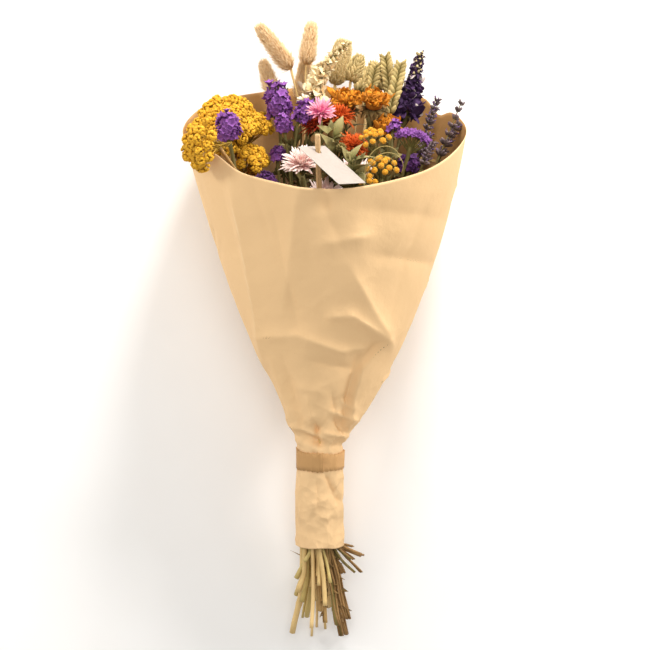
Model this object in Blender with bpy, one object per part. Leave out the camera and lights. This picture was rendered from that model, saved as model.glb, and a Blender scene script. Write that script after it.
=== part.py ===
"""A mixed bouquet of dried flowers in a kraft paper wrap, lying on its back.

The bouquet frame has its origin on the surface below the paper band's middle: X runs across the
bouquet, Y from the band towards the flowers, and Z up. The bundle's own axis rises from the band to
the open mouth of the wrap, because the bouquet rests on the back of that mouth and on its stem ends.
A point on the axis is given by its station, its distance from the band along the axis.
Lengths are in metres; MM turns millimetres into metres. At the end everything is moved, by one empty,
so that the row frame's origin is at the middle of the box's bottom.
"""

import math

import bmesh
import bpy
import numpy as np

MM = 0.001

# The bundle's axis.
AXIS_TILT = math.radians(9.5)
BAND_HEIGHT = 61 * MM

# The paper wrap. Its sections are half ellipses in front and at the back, read from these stations.
PAPER = 0.5 * MM
WRAP_STATIONS = np.array([-86, -50, -14, 0, 14, 42, 80, 140, 210, 285, 360]) * MM
WRAP_HALF_WIDTH = np.array([24.2, 24.6, 22.9, 22.9, 22.9, 37, 56, 84, 108.5, 128.5, 145]) * MM
WRAP_FRONT = np.array([23.6, 24.2, 22.9, 22.9, 22.9, 33, 47, 68, 90, 113, 132]) * MM
WRAP_BACK = np.array([23.6, 24.2, 22.9, 22.9, 22.9, 34, 46.5, 65, 85.5, 107, 129]) * MM
WRAP_OFFSET = np.array([0, 0, 0, 0, 0, 5, 8, 7.5, 7.5, 6, 2]) * MM
RIM_STATION = 317 * MM
RIM_AT_SIDES = 5 * MM
RIM_SLOPE = 38 * MM
WRAP_SIDES = 40
FIXED_ROWS = np.array([-86, -50, -14, 14, 26, 42, 60]) * MM
HEM_STATION = FIXED_ROWS[0]
CONE_ROWS = 9

# The paper band, a strip wound round the wrap's waist and stuck down over its own start.
BAND_PAPER = 0.4 * MM
BAND_WIDTH = 19.5 * MM
BAND_GAP = 0.3 * MM
BAND_SEAM = math.radians(84)
BAND_OVERLAP = math.radians(46)
BAND_STEPS = 40
RAMP_START = 1.5
RAMP_LENGTH = 0.4

# The tie that holds the stems together under the wrap.
TIE_RADIUS = 20.7 * MM
TIE_THICK = 0.75 * MM
TIE_WIDTH = 3.5 * MM
TIE_SIDES = 28

# The bundle inside the tie: stems stand on a triangular grid. Below it they spread and lean to one side.
# Above it each follows a cubic whose two handles are shares of its straight length, and the upper handle
# leans by a share towards the head's own direction.
STEM_PITCH = 4.75 * MM
STEM_SPREAD = 1.9
STEM_LEAN = 5 * MM
HALF_WAY_DOWN = 0.55
HALF_WAY_SPREAD = 1.3
HALF_WAY_LEAN = 0.6
HEM_SPREAD = 1.06
TIED_STATION = 14 * MM
LOWER_HANDLE = 0.35
UPPER_HANDLE = 0.3
HANDLE_TURN = 0.4
RING_SHARES = (0.22, 0.44, 0.64, 0.83, 1.0)
STEM_TAPER = np.array([1.25, 1.2, 1.1, 1.0, 1.0, 1.0, 0.95, 0.9, 0.9])
GRID_REACH = 6
CLEARANCE = 0.45 * MM
STEM_RINGS = 10
HEAD_RINGS = 5
TIED_RINGS = slice(3, 5)
SETTLE_STEPS = 220
MOST_HEAD_SHIFT = 9 * MM
HEAD_EAGERNESS = 1.6
STEM_STIFFNESS = 0.12
WALL_GAP = 0.5 * MM
RIM_MARGIN = 4 * MM
TIP_BULGE = 0.35

# The gift tag and the round wooden pick that it is threaded on.
TAG_WIDTH = 37 * MM
TAG_LENGTH = 60 * MM
TAG_PAPER = 0.4 * MM
TAG_HOLE = 3.6 * MM
PICK_RADIUS = 2.1 * MM
PICK_FOOT = np.array([2, 176, 151]) * MM
PICK_TIP = np.array([-2, 306, 206]) * MM
PICK_SIDES = 10
PICK_SHARES = np.array([0, 0.3, 0.6, 0.9, 0.985, 1.0])
PICK_TAPER = np.array([0.95, 1, 1, 1, 1, 0.75])
TAG_PLACE = 0.885
TAG_RIGHT = np.array([25, 3, -27.5])
TAG_DOWN = np.array([38, -37, 30.5])
HOLE_ACROSS = 0.53
HOLE_DOWN = 0.14
HOLE_SIDES = 16
SHARP_ANGLE = math.radians(40)

# Each kind of plant: its stem's radius, its head's radius at even steps from the head's base to its
# tip, both in millimetres, the sides of its sections, and its material.
KINDS = {
    "bunny_tail": (0.9, [2.0, 7.0, 8.6, 7.6, 4.2], 6, "bunny_tail"),
    "big_bunny_tail": (1.1, [2.4, 9.0, 11.2, 10.6, 6.0], 8, "green_grass"),
    "canary_grass": (0.9, [2.0, 7.5, 9.2, 7.0, 2.4], 6, "green_grass"),
    "wheat": (1.5, [2.0, 5.6, 6.6, 6.0, 2.4], 6, "green_grass"),
    "larkspur": (1.5, [3.0, 9.5, 10.0, 7.0, 3.0], 6, "violet"),
    "pale_larkspur": (1.5, [3.0, 9.5, 9.0, 6.0, 2.5], 6, "cream"),
    "lavender": (0.9, [1.6, 4.0, 4.8, 4.2, 1.8], 6, "lavender"),
    "statice": (1.8, [2.6, 8.5, 12.0, 12.0, 6.0], 8, "purple"),
    "small_statice": (1.4, [2.0, 5.0, 7.5, 7.5, 4.5], 6, "purple"),
    "comb_statice": (1.7, [2.6, 7.0, 12.0, 13.5, 9.0], 8, "purple"),
    "yarrow": (2.1, [2.8, 9.0, 21.0, 29.0, 22.0], 8, "yellow"),
    "small_yarrow": (1.8, [2.4, 6.0, 12.0, 15.0, 11.0], 8, "yellow"),
    "pink_star": (1.2, [2.0, 4.0, 8.5, 11.0, 7.0], 6, "pink"),
    "pale_star": (1.4, [2.2, 4.5, 10.0, 15.0, 9.0], 8, "pale_pink"),
    "safflower": (1.5, [2.2, 7.0, 8.0, 9.5, 6.0], 6, "orange_red"),
    "golden_daisy": (1.6, [2.2, 6.0, 8.0, 12.0, 8.0], 8, "orange"),
    "button_cluster": (1.6, [2.2, 5.0, 11.0, 14.5, 10.0], 8, "yellow"),
    "small_buttons": (1.2, [1.8, 3.5, 6.0, 7.5, 5.0], 6, "yellow"),
    "winged_daisy": (1.1, [1.8, 3.5, 6.5, 10.0, 6.0], 6, "cream"),
    "leafy_sprig": (1.6, [2.2, 7.0, 9.5, 8.0, 3.0], 6, "leaf"),
}

# Each plant: its kind, where its head starts and where the head's tip is, in millimetres in the
# bouquet frame, and how far below the band its stem is cut.
PLANTS = {
    "bunny_tail_1": ("bunny_tail", (-29, 386, 42), (-61, 428, 50), 188),
    "bunny_tail_2": ("bunny_tail", (-14, 390, 44), (-8, 430, 48), 184),
    "bunny_tail_3": ("bunny_tail", (-20, 356, 26), (-14, 398, 20), 182),
    "bunny_tail_4": ("bunny_tail", (-47, 362, 32), (-57, 394, 27), 170),
    "bunny_tail_5": ("big_bunny_tail", (15, 370, 46), (24, 414, 54), 160),
    "canary_grass_1": ("canary_grass", (30, 370, 74), (40, 397, 78), 134),
    "canary_grass_2": ("canary_grass", (40, 362, 46), (48, 388, 36), 112),
    "canary_grass_3": ("canary_grass", (58, 366, 28), (52, 397, 26), 150),
    "wheat_ear_1": ("wheat", (70, 350, 58), (64, 402, 52), 186),
    "wheat_ear_2": ("wheat", (68, 336, 88), (81, 394, 66), 180),
    "wheat_ear_3": ("wheat", (46, 342, 64), (56, 392, 52), 172),
    "white_larkspur": ("pale_larkspur", (-8, 352, 84), (26, 406, 86), 150),
    "purple_larkspur": ("larkspur", (84, 334, 68), (99, 399, 52), 165),
    "lavender_1": ("lavender", (105, 324, 62), (116, 354, 62), 96),
    "lavender_2": ("lavender", (115, 294, 116), (138, 349, 106), 110),
    "lavender_3": ("lavender", (119, 299, 94), (137, 327, 88), 104),
    "lavender_4": ("lavender", (95, 296, 106), (104, 316, 108), 100),
    "lavender_5": ("lavender", (98, 284, 138), (108, 304, 142), 108),
    "statice_1": ("statice", (-42, 330, 86), (-44, 363, 96), 164),
    "statice_2": ("statice", (-87, 306, 150), (-89, 336, 164), 145),
    "statice_3": ("small_statice", (-34, 317, 118), (-37, 332, 128), 126),
    "statice_4": ("small_statice", (-22, 326, 106), (-11, 346, 112), 118),
    "statice_5": ("small_statice", (70, 316, 122), (75, 330, 126), 122),
    "statice_6": ("comb_statice", (88, 302, 122), (92, 318, 136), 158),
    "statice_7": ("small_statice", (-51, 258, 142), (-52, 273, 148), 98),
    "statice_8": ("small_statice", (86, 278, 108), (87, 292, 112), 102),
    "statice_9": ("small_statice", (-41, 290, 106), (-41, 304, 110), 112),
    "yarrow_1": ("yarrow", (-80, 303, 103), (-96, 331, 137), 176),
    "yarrow_2": ("small_yarrow", (-68, 314, 82), (-58, 336, 94), 140),
    "yarrow_3": ("small_yarrow", (-95, 299, 179), (-121, 292, 197), 132),
    "yarrow_4": ("small_yarrow", (-74, 284, 104), (-67, 302, 116), 120),
    "pink_star_1": ("pink_star", (1, 326, 126), (1, 340, 140), 134),
    "pale_star_1": ("pale_star", (-16, 270, 158), (-19, 291, 178), 166),
    "pale_star_2": ("pale_star", (30, 262, 152), (32, 276, 168), 124),
    "pale_star_3": ("pale_star", (6, 244, 124), (8, 260, 138), 116),
    "safflower_1": ("safflower", (17, 322, 102), (20, 342, 110), 168),
    "safflower_2": ("safflower", (0, 318, 90), (-4, 334, 98), 130),
    "safflower_3": ("safflower", (34, 292, 128), (35, 310, 140), 148),
    "golden_daisy_1": ("golden_daisy", (26, 340, 88), (25, 358, 98), 138),
    "golden_daisy_2": ("golden_daisy", (52, 340, 96), (53, 356, 106), 146),
    "golden_daisy_3": ("golden_daisy", (66, 314, 92), (64, 331, 104), 126),
    "button_cluster_1": ("button_cluster", (49, 298, 140), (47, 315, 152), 136),
    "button_cluster_2": ("button_cluster", (58, 268, 164), (57, 287, 180), 160),
    "button_cluster_3": ("small_buttons", (44, 256, 176), (44, 270, 184), 118),
    "winged_daisy_1": ("winged_daisy", (-9, 340, 74), (-8, 357, 82), 108),
    "leafy_sprig_1": ("leafy_sprig", (14, 290, 130), (12, 320, 140), 152),
    "leafy_sprig_2": ("leafy_sprig", (32, 268, 174), (31, 292, 184), 142),
    "leafy_sprig_3": ("leafy_sprig", (-20, 288, 84), (-22, 316, 92), 106),
    "leafy_sprig_4": ("leafy_sprig", (60, 276, 92), (65, 304, 102), 114),
    "leafy_sprig_5": ("leafy_sprig", (84, 268, 66), (94, 296, 72), 100),
}

COLOURS = {
    "kraft": ((0.80, 0.52, 0.26), 0.85),
    "band": ((0.62, 0.36, 0.16), 0.8),
    "card": ((0.90, 0.84, 0.76), 0.7),
    "wood": ((0.62, 0.42, 0.22), 0.65),
    "rubber": ((0.42, 0.32, 0.20), 0.7),
    "bunny_tail": ((0.76, 0.56, 0.33), 0.9),
    "green_grass": ((0.52, 0.42, 0.22), 0.9),
    "violet": ((0.10, 0.05, 0.16), 0.9),
    "cream": ((0.80, 0.68, 0.46), 0.9),
    "lavender": ((0.15, 0.11, 0.16), 0.9),
    "purple": ((0.24, 0.06, 0.36), 0.9),
    "yellow": ((0.72, 0.36, 0.03), 0.9),
    "pink": ((0.80, 0.25, 0.38), 0.85),
    "pale_pink": ((0.80, 0.58, 0.55), 0.85),
    "orange_red": ((0.60, 0.09, 0.02), 0.9),
    "orange": ((0.75, 0.30, 0.04), 0.9),
    "leaf": ((0.22, 0.20, 0.09), 0.85),
}


def smooth_curve(stations, values, at):
    """Reads a smooth curve through the given values, by cubics that never overshoot: a value's slope is
    the harmonic mean of the slopes beside it, or level where they differ in sign."""
    rise = np.diff(values) / np.diff(stations)
    product = rise[:-1] * rise[1:]
    total = np.where(product > 0, rise[:-1] + rise[1:], 1)
    slopes = np.concatenate([rise[:1], np.where(product > 0, 2 * product / total, 0), rise[-1:]])
    at = np.clip(at, stations[0], stations[-1])
    i = np.clip(np.searchsorted(stations, at, side="right") - 1, 0, len(stations) - 2)
    span = stations[i + 1] - stations[i]
    t = (at - stations[i]) / span
    start = values[i] * (1 + 2 * t) * (1 - t) ** 2 + slopes[i] * span * t * (1 - t) ** 2
    end = values[i + 1] * t * t * (3 - 2 * t) + slopes[i + 1] * span * t * t * (t - 1)
    return start + end


def from_axis(station, across, rise):
    """Bouquet-frame points from station along the axis, distance across it, and rise off it."""
    cos, sin = math.cos(AXIS_TILT), math.sin(AXIS_TILT)
    y = station * cos - rise * sin
    z = BAND_HEIGHT + station * sin + rise * cos
    return np.stack(np.broadcast_arrays(across, y, z), axis=-1)


def to_axis(points):
    """Station, distance across, and rise of bouquet-frame points."""
    cos, sin = math.cos(AXIS_TILT), math.sin(AXIS_TILT)
    y, z = points[..., 1], points[..., 2] - BAND_HEIGHT
    return y * cos + z * sin, points[..., 0], z * cos - y * sin


def wrap_section(station, inset):
    """The wrap's centre offset, half width, front depth and back depth at a station, less an inset."""
    offset = smooth_curve(WRAP_STATIONS, WRAP_OFFSET, station)
    sizes = [
        smooth_curve(WRAP_STATIONS, values, station) - inset
        for values in (WRAP_HALF_WIDTH, WRAP_FRONT, WRAP_BACK)
    ]
    return offset, *sizes


def rim_station(angle):
    """The mouth's edge: furthest out at the back, nearest in front, and raised a little at the sides."""
    return RIM_STATION + RIM_AT_SIDES * np.cos(angle) ** 2 - RIM_SLOPE * np.sin(angle)


def wrap_surface(inset):
    """The wrap's surface as a grid of rows from hem to rim; angle 0 is +X and a quarter turn is the front.
    Where it would reach below the table it lies flat on it."""
    angle = np.linspace(0, 2 * math.pi, WRAP_SIDES, endpoint=False)
    share = np.linspace(0, 1, CONE_ROWS + 1)[1:, None]
    cone = FIXED_ROWS[-1] + (rim_station(angle) - FIXED_ROWS[-1]) * share
    station = np.concatenate([np.repeat(FIXED_ROWS[:, None], WRAP_SIDES, axis=1), cone])
    offset, half, front, back = wrap_section(station, inset)
    depth = np.where(np.sin(angle) > 0, front, back)
    points = from_axis(station, offset + half * np.cos(angle), depth * np.sin(angle))
    points[..., 2] = np.maximum(points[..., 2], inset)
    return points


def grid_faces(rows, columns):
    """Quads between the rows of a grid whose columns close on themselves."""
    here = np.arange(rows - 1)[:, None] * columns + np.arange(columns)
    beside = np.arange(rows - 1)[:, None] * columns + (np.arange(columns) + 1) % columns
    return np.stack([here, beside, beside + columns, here + columns], axis=-1).reshape(-1, 4)


def material(name):
    """The Principled material of that name, made the first time it is asked for."""
    found = bpy.data.materials.get(name)
    if found:
        return found
    colour, roughness = COLOURS[name]
    made = bpy.data.materials.new(name)
    made.use_nodes = True
    shader = made.node_tree.nodes["Principled BSDF"]
    shader.inputs["Base Color"].default_value = (*colour, 1)
    shader.inputs["Roughness"].default_value = roughness
    shader.inputs["Metallic"].default_value = 0
    made.diffuse_color = (*colour, 1)
    return made


def add_object(name, points, faces, material_name, parent):
    """A mesh object from arrays of points and faces, its faces turned out, shaded smooth with sharp edges."""
    mesh = bpy.data.meshes.new(name)
    mesh.from_pydata(np.reshape(points, (-1, 3)).tolist(), [], [list(map(int, f)) for f in faces])
    work = bmesh.new()
    work.from_mesh(mesh)
    bmesh.ops.recalc_face_normals(work, faces=work.faces)
    work.to_mesh(mesh)
    work.free()
    mesh.shade_smooth()
    mesh.set_sharp_from_angle(angle=SHARP_ANGLE)
    mesh.materials.append(material(material_name))
    made = bpy.data.objects.new(name, mesh)
    bpy.context.scene.collection.objects.link(made)
    made.parent = parent
    return made


def shell_faces(rows, columns):
    """Faces of a shell: an outer grid, an inner grid after it turned round, and a strip at each end."""
    outer = grid_faces(rows, columns)
    inner = outer[:, ::-1] + rows * columns
    here = np.arange(columns)
    beside = (here + 1) % columns
    inside = rows * columns
    last = (rows - 1) * columns
    hem = np.stack([here + inside, beside + inside, beside, here], axis=-1)
    rim = np.stack([here + last, beside + last, beside + last + inside, here + last + inside], axis=-1)
    return np.concatenate([outer, inner, hem, rim])


def add_wrap(parent):
    """The kraft paper wrap: a straight sleeve round the stems, flared into an open cone."""
    points = np.stack([wrap_surface(0), wrap_surface(PAPER)])
    faces = shell_faces(points.shape[1], WRAP_SIDES)
    return add_object("paper_wrap", points, faces, "kraft", parent)


def add_band(parent):
    """The paper band: one strip that starts at its seam, goes round, and ends on top of its own start."""
    turns = 2 * math.pi + BAND_OVERLAP
    angle = np.linspace(0, turns, BAND_STEPS)
    lift = np.clip((angle - (turns - RAMP_START * BAND_OVERLAP)) / (RAMP_LENGTH * BAND_OVERLAP), 0, 1)
    waist = WRAP_HALF_WIDTH[WRAP_STATIONS == 0][0]
    inner = waist + BAND_GAP + lift * (BAND_PAPER + BAND_GAP)
    around = BAND_SEAM + angle
    rows = []
    for edge, thick in ((-0.5, 0), (0.5, 0), (0.5, BAND_PAPER), (-0.5, BAND_PAPER)):
        station = np.full(BAND_STEPS, edge * BAND_WIDTH)
        radius = inner + thick
        rows.append(from_axis(station, radius * np.cos(around), radius * np.sin(around)))
    points = np.stack(rows, axis=1).reshape(-1, 3)
    last = 4 * (BAND_STEPS - 1)
    faces = [*grid_faces(BAND_STEPS, 4), (0, 1, 2, 3), (last, last + 1, last + 2, last + 3)]
    return add_object("paper_band", points, faces, "band", parent)


def add_tie(parent):
    """The elastic tie round the stems, under the wrap: a ring of rectangular section."""
    angle = np.linspace(0, 2 * math.pi, TIE_SIDES, endpoint=False)
    rows = []
    for edge, thick in ((-0.5, TIE_THICK), (0.5, TIE_THICK), (0.5, 0), (-0.5, 0)):
        station = np.full(TIE_SIDES, edge * TIE_WIDTH)
        radius = TIE_RADIUS + thick
        rows.append(from_axis(station, radius * np.cos(angle), radius * np.sin(angle)))
    here = np.arange(TIE_SIDES)
    beside = (here + 1) % TIE_SIDES
    last = 3 * TIE_SIDES
    closing = np.stack([here + last, beside + last, beside, here], axis=-1)
    faces = np.concatenate([grid_faces(4, TIE_SIDES), closing])
    return add_object("stem_tie", np.concatenate(rows), faces, "rubber", parent)


def stem_slots(count):
    """Places for the stems in the bundle's section: the nearest points of a triangular grid."""
    steps = np.arange(-GRID_REACH, GRID_REACH + 1)
    column, row = np.meshgrid(steps, steps)
    x = (column + 0.5 * (row % 2)).ravel() * STEM_PITCH
    y = row.ravel() * STEM_PITCH * math.sqrt(3) / 2
    near = np.argsort(np.hypot(x, y) + 1e-7 * np.arctan2(y, x))[:count]
    return np.stack([x[near], y[near]], axis=-1)


def shared_out(slots, wanted):
    """Gives each stem a slot: swaps pairs until no swap brings the stems nearer to where they lead."""
    order = np.arange(len(slots))
    cost = ((wanted[:, None] - slots[None]) ** 2).sum(-1)
    changed = True
    while changed:
        changed = False
        for i in range(len(order)):
            for j in range(i + 1, len(order)):
                now = cost[i, order[i]] + cost[j, order[j]]
                if cost[i, order[j]] + cost[j, order[i]] < now - 1e-12:
                    order[i], order[j] = order[j], order[i]
                    changed = True
    return slots[order]


def places_at_tie(bases):
    """Each stem's slot in the tie, chosen so that stems which lead outwards stand outside."""
    station, across, rise = to_axis(bases)
    slots = stem_slots(len(bases))
    wanted = np.stack([across / station, rise / station], axis=-1)
    wanted *= np.hypot(*slots.T).max() / np.hypot(*wanted.T).max()
    return shared_out(slots, wanted)


def rings_below(slots, cuts):
    """Ring centres from the cut ends up to the tie, where the stems are parallel."""
    below = (
        (cuts, STEM_SPREAD, STEM_LEAN),
        (HALF_WAY_DOWN * cuts - (1 - HALF_WAY_DOWN) * HEM_STATION, HALF_WAY_SPREAD, HALF_WAY_LEAN * STEM_LEAN),
        (np.full(len(cuts), -HEM_STATION), HEM_SPREAD, 0),
        (np.full(len(cuts), TIED_STATION), 1.0, 0),
        (np.full(len(cuts), -TIED_STATION), 1.0, 0),
    )
    return [from_axis(-down, slots[:, 0] * spread + lean, slots[:, 1] * spread) for down, spread, lean in below]


def rings_above(start, bases, tips):
    """Ring centres from the tie to the heads' bases along cubics, and then straight to their tips."""
    headings = (tips - bases) / np.linalg.norm(tips - bases, axis=1)[:, None]
    length = np.linalg.norm(bases - start, axis=1)[:, None]
    toward = (bases - start) / length
    first = start + LOWER_HANDLE * length * toward
    second = bases - UPPER_HANDLE * length * ((1 - HANDLE_TURN) * toward + HANDLE_TURN * headings)
    rings = []
    for t in RING_SHARES:
        early = (1 - t) ** 3 * start + 3 * t * (1 - t) ** 2 * first
        rings.append(early + 3 * t * t * (1 - t) * second + t**3 * bases)
    for step in range(1, HEAD_RINGS):
        rings.append(bases + (tips - bases) * step / (HEAD_RINGS - 1))
    return rings


def stem_lines():
    """Every plant's line of ring centres and their radii: STEM_RINGS along the stem, the last of them at
    the head's base, and HEAD_RINGS - 1 more up to the head's tip."""
    bases = np.array([plant[1] for plant in PLANTS.values()]) * MM
    tips = np.array([plant[2] for plant in PLANTS.values()]) * MM
    cuts = np.array([plant[3] for plant in PLANTS.values()]) * MM
    rings = rings_below(places_at_tie(bases), cuts)
    rings += rings_above(rings[-1], bases, tips)
    stems = np.array([KINDS[plant[0]][0] for plant in PLANTS.values()]) * MM
    heads = np.array([KINDS[plant[0]][1] for plant in PLANTS.values()]) * MM
    radii = np.concatenate([stems[:, None] * STEM_TAPER, heads], axis=1)
    return np.stack(rings, axis=1), radii


def closest_between(p, q, r, s):
    """How far along each segment p-q and r-s the two come closest, as shares from 0 to 1."""
    a, b, c = q - p, s - r, p - r
    aa, bb, ab = (a * a).sum(-1), (b * b).sum(-1), (a * b).sum(-1)
    ac, bc = (a * c).sum(-1), (b * c).sum(-1)
    t = np.clip((ab * bc - bb * ac) / np.maximum(aa * bb - ab * ab, 1e-18), 0, 1)
    u = np.clip((ab * t + bc) / bb, 0, 1)
    t = np.clip((ab * u - ac) / aa, 0, 1)
    return t, u


def pieces_apart(plants, rings):
    """The owner and the number of every straight stretch between rings, and all pairs of stretches that
    belong to different plants."""
    owner = np.repeat(np.arange(plants), rings - 1)
    index = np.tile(np.arange(rings - 1), plants)
    one, two = np.triu_indices(len(owner), 1)
    apart = owner[one] != owner[two]
    return owner, index, one[apart], two[apart]


def near_pairs(every, reach, owner, index, one, two):
    """The pairs of stretches whose enclosing balls come closer than the clearance."""
    begin, end = every[owner, index], every[owner, index + 1]
    middle, half = (begin + end) / 2, np.linalg.norm(end - begin, axis=1) / 2
    wide = np.maximum(reach[owner, index], reach[owner, index + 1])
    gap = np.linalg.norm(middle[one] - middle[two], axis=1)
    near = gap < half[one] + half[two] + wide[one] + wide[two] + CLEARANCE
    return one[near], two[near]


def pushes(every, reach, owner, index, i, j):
    """How far every ring is pushed off the stretches that come too close to its own."""
    begin, end = every[owner, index], every[owner, index + 1]
    t, u = closest_between(begin[i], end[i], begin[j], end[j])
    here = begin[i] + t[:, None] * (end[i] - begin[i])
    there = begin[j] + u[:, None] * (end[j] - begin[j])
    away = here - there
    far = np.linalg.norm(away, axis=1)
    need = CLEARANCE
    need = need + reach[owner[i], index[i]] * (1 - t) + reach[owner[i], index[i] + 1] * t
    need = need + reach[owner[j], index[j]] * (1 - u) + reach[owner[j], index[j] + 1] * u
    hit = far < need
    push = (away / np.maximum(far, 1e-9)[:, None] * (0.5 * (need - far))[:, None])[hit]
    moved, weight = np.zeros_like(every), np.zeros(every.shape[:2])
    for which, share, sign in ((i[hit], t[hit], 1), (j[hit], u[hit], -1)):
        for step, part in ((0, 1 - share), (1, share)):
            np.add.at(moved, (owner[which], index[which] + step), sign * push * part[:, None])
            np.add.at(weight, (owner[which], index[which] + step), part)
    return moved / np.maximum(weight, 1)[..., None]


def eased(shift, step):
    """The plants' shifts after one more step: heads move as one piece and only a little, a stem's shift
    is spread along it, and nothing moves at the tie."""
    head = slice(STEM_RINGS - 1, shift.shape[1])
    step[:, head] = step[:, head].mean(axis=1, keepdims=True) * HEAD_EAGERNESS
    shift = shift + step
    size = np.linalg.norm(shift[:, head], axis=2, keepdims=True)
    shift[:, head] *= np.minimum(1, MOST_HEAD_SHIFT / np.maximum(size, 1e-9))
    shift[:, 1 : head.start] += STEM_STIFFNESS * (
        shift[:, : head.start - 1] + shift[:, 2 : head.start + 1] - 2 * shift[:, 1 : head.start]
    )
    shift[:, TIED_RINGS] = 0
    return shift


def settle(lines, radii, obstacle):
    """Pushes stems and heads apart until they touch nothing: each other, the wrap, the table or the pick."""
    plants, rings = radii.shape
    first = lines.copy()
    every = np.concatenate([lines, np.linspace(*obstacle, rings)[None]])
    reach = np.concatenate([radii, np.full((1, rings), PICK_RADIUS)])
    owner, index, one, two = pieces_apart(*reach.shape)
    for _ in range(SETTLE_STEPS):
        i, j = near_pairs(every, reach, owner, index, one, two)
        moved = pushes(every, reach, owner, index, i, j)
        shift = eased(every[:plants] - first, moved[:plants])
        every[:plants] = inside_wrap(first + shift, radii)
    return every[:plants]


def inside_wrap(lines, radii):
    """Moves ring centres in from the wrap's wall and up from the table."""
    station, across, rise = to_axis(lines)
    offset, half, front, back = wrap_section(station, PAPER + WALL_GAP + radii)
    depth = np.where(rise > 0, front, back)
    out = np.hypot((across - offset) / half, rise / depth)
    angle = np.arctan2(rise / depth, (across - offset) / half)
    held = (station > HEM_STATION) & (station < rim_station(angle) + RIM_MARGIN) & (out > 1)
    scale = np.where(held, 1 / np.maximum(out, 1e-9), 1)
    lines = from_axis(station, offset + (across - offset) * scale, rise * scale)
    lines[..., 2] = np.maximum(lines[..., 2], radii + np.where(station > 0, PAPER + CLEARANCE, 0))
    return lines


def swept_solid(centres, radii, sides):
    """Points and faces of a closed solid swept along ring centres: turned rings, and a fan at each end."""
    tangents = np.gradient(centres, axis=0)
    tangents /= np.linalg.norm(tangents, axis=1)[:, None]
    side = np.cross(tangents, (0, 0, 1))
    side /= np.linalg.norm(side, axis=1)[:, None]
    up = np.cross(side, tangents)
    angle = np.linspace(0, 2 * math.pi, sides, endpoint=False)[:, None]
    rings = [
        c + r * (np.cos(angle) * a + np.sin(angle) * b)
        for c, r, a, b in zip(centres, radii, side, up)
    ]
    tip = centres[-1] + tangents[-1] * TIP_BULGE * radii[-1]
    points = np.concatenate([*rings, centres[:1], tip[None]])
    faces = list(grid_faces(len(centres), sides))
    foot, top = len(points) - 2, len(points) - 1
    last = (len(centres) - 1) * sides
    for k in range(sides):
        beside = (k + 1) % sides
        faces.append((foot, k, beside))
        faces.append((top, last + k, last + beside))
    return points, faces


def add_plants(parent):
    """Every stem with its flower head, as one grown solid each."""
    lines, radii = stem_lines()
    lines = settle(lines, radii, (PICK_FOOT, PICK_TIP))
    for (name, plant), centres, widths in zip(PLANTS.items(), lines, radii):
        _, _, sides, colour = KINDS[plant[0]]
        points, faces = swept_solid(centres, widths, sides)
        add_object(name, points, faces, colour, parent)


def add_pick(parent):
    """The round wooden pick, cut blunt at its foot and a little rounded at its tip."""
    centres = PICK_FOOT + (PICK_TIP - PICK_FOOT) * PICK_SHARES[:, None]
    points, faces = swept_solid(centres, PICK_RADIUS * PICK_TAPER, PICK_SIDES)
    return add_object("tag_pick", points, faces, "wood", parent)


def add_tag(parent):
    """The gift tag: a card with a round hole near its top edge, threaded on the pick."""
    hole = PICK_FOOT + TAG_PLACE * (PICK_TIP - PICK_FOOT)
    right = TAG_RIGHT / np.linalg.norm(TAG_RIGHT)
    down = TAG_DOWN - right * (TAG_DOWN @ right)
    down /= np.linalg.norm(down)
    out = np.cross(down, right)
    corner = hole - right * HOLE_ACROSS * TAG_WIDTH - down * HOLE_DOWN * TAG_LENGTH
    outline = [(0, 0), (1, 0), (1, 1), (0, 1)]
    card = [corner + right * a * TAG_WIDTH + down * b * TAG_LENGTH for a, b in outline]
    angles = np.arange(HOLE_SIDES) * 2 * math.pi / HOLE_SIDES
    cut = [hole + TAG_HOLE * (math.cos(a) * right + math.sin(a) * down) for a in angles]
    made = prism("tag_card", card, out, TAG_PAPER, "card", parent)
    cutter = prism("tag_hole_cutter", cut, out, 20 * TAG_PAPER, "card", parent)
    cutter.hide_render = True
    cutter.display_type = "WIRE"
    boolean = made.modifiers.new("hole", "BOOLEAN")
    boolean.operation = "DIFFERENCE"
    boolean.object = cutter
    return made


def prism(name, outline, direction, thick, colour, parent):
    """A flat outline made thick, half to each side of its plane."""
    count = len(outline)
    low = np.array(outline) - direction * thick / 2
    points = np.concatenate([low, low + direction * thick])
    faces = [tuple(range(count)), tuple(range(2 * count - 1, count - 1, -1))]
    faces += [(k, k + count, (k + 1) % count + count, (k + 1) % count) for k in range(count)]
    return add_object(name, points, faces, colour, parent)


def stand_on_origin(frame):
    """Moves the bouquet so that the middle of its box's bottom is at the origin."""
    bpy.context.view_layer.update()
    solid = [o for o in bpy.data.objects if o.type == "MESH" and not o.hide_render]
    corners = np.array([vertex.co for o in solid for vertex in o.data.vertices])
    low, high = corners.min(axis=0), corners.max(axis=0)
    frame.location = (-(low[0] + high[0]) / 2, -(low[1] + high[1]) / 2, -low[2])


def main():
    for old in list(bpy.data.objects):
        bpy.data.objects.remove(old)
    frame = bpy.data.objects.new("bouquet_frame", None)
    bpy.context.scene.collection.objects.link(frame)
    add_wrap(frame)
    add_band(frame)
    add_tie(frame)
    add_plants(frame)
    add_pick(frame)
    add_tag(frame)
    stand_on_origin(frame)


main()
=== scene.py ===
"""The looks of a mixed bouquet of dried flowers in a kraft paper wrap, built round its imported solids.

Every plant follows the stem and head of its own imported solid. Lengths are in metres, and MM turns
millimetres into metres. "Waist" is the middle of the stem tie, where everything is bound together.
"""
import logging
import math
from dataclasses import dataclass, field
from enum import Enum
from typing import Any, Callable, Sequence

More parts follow.
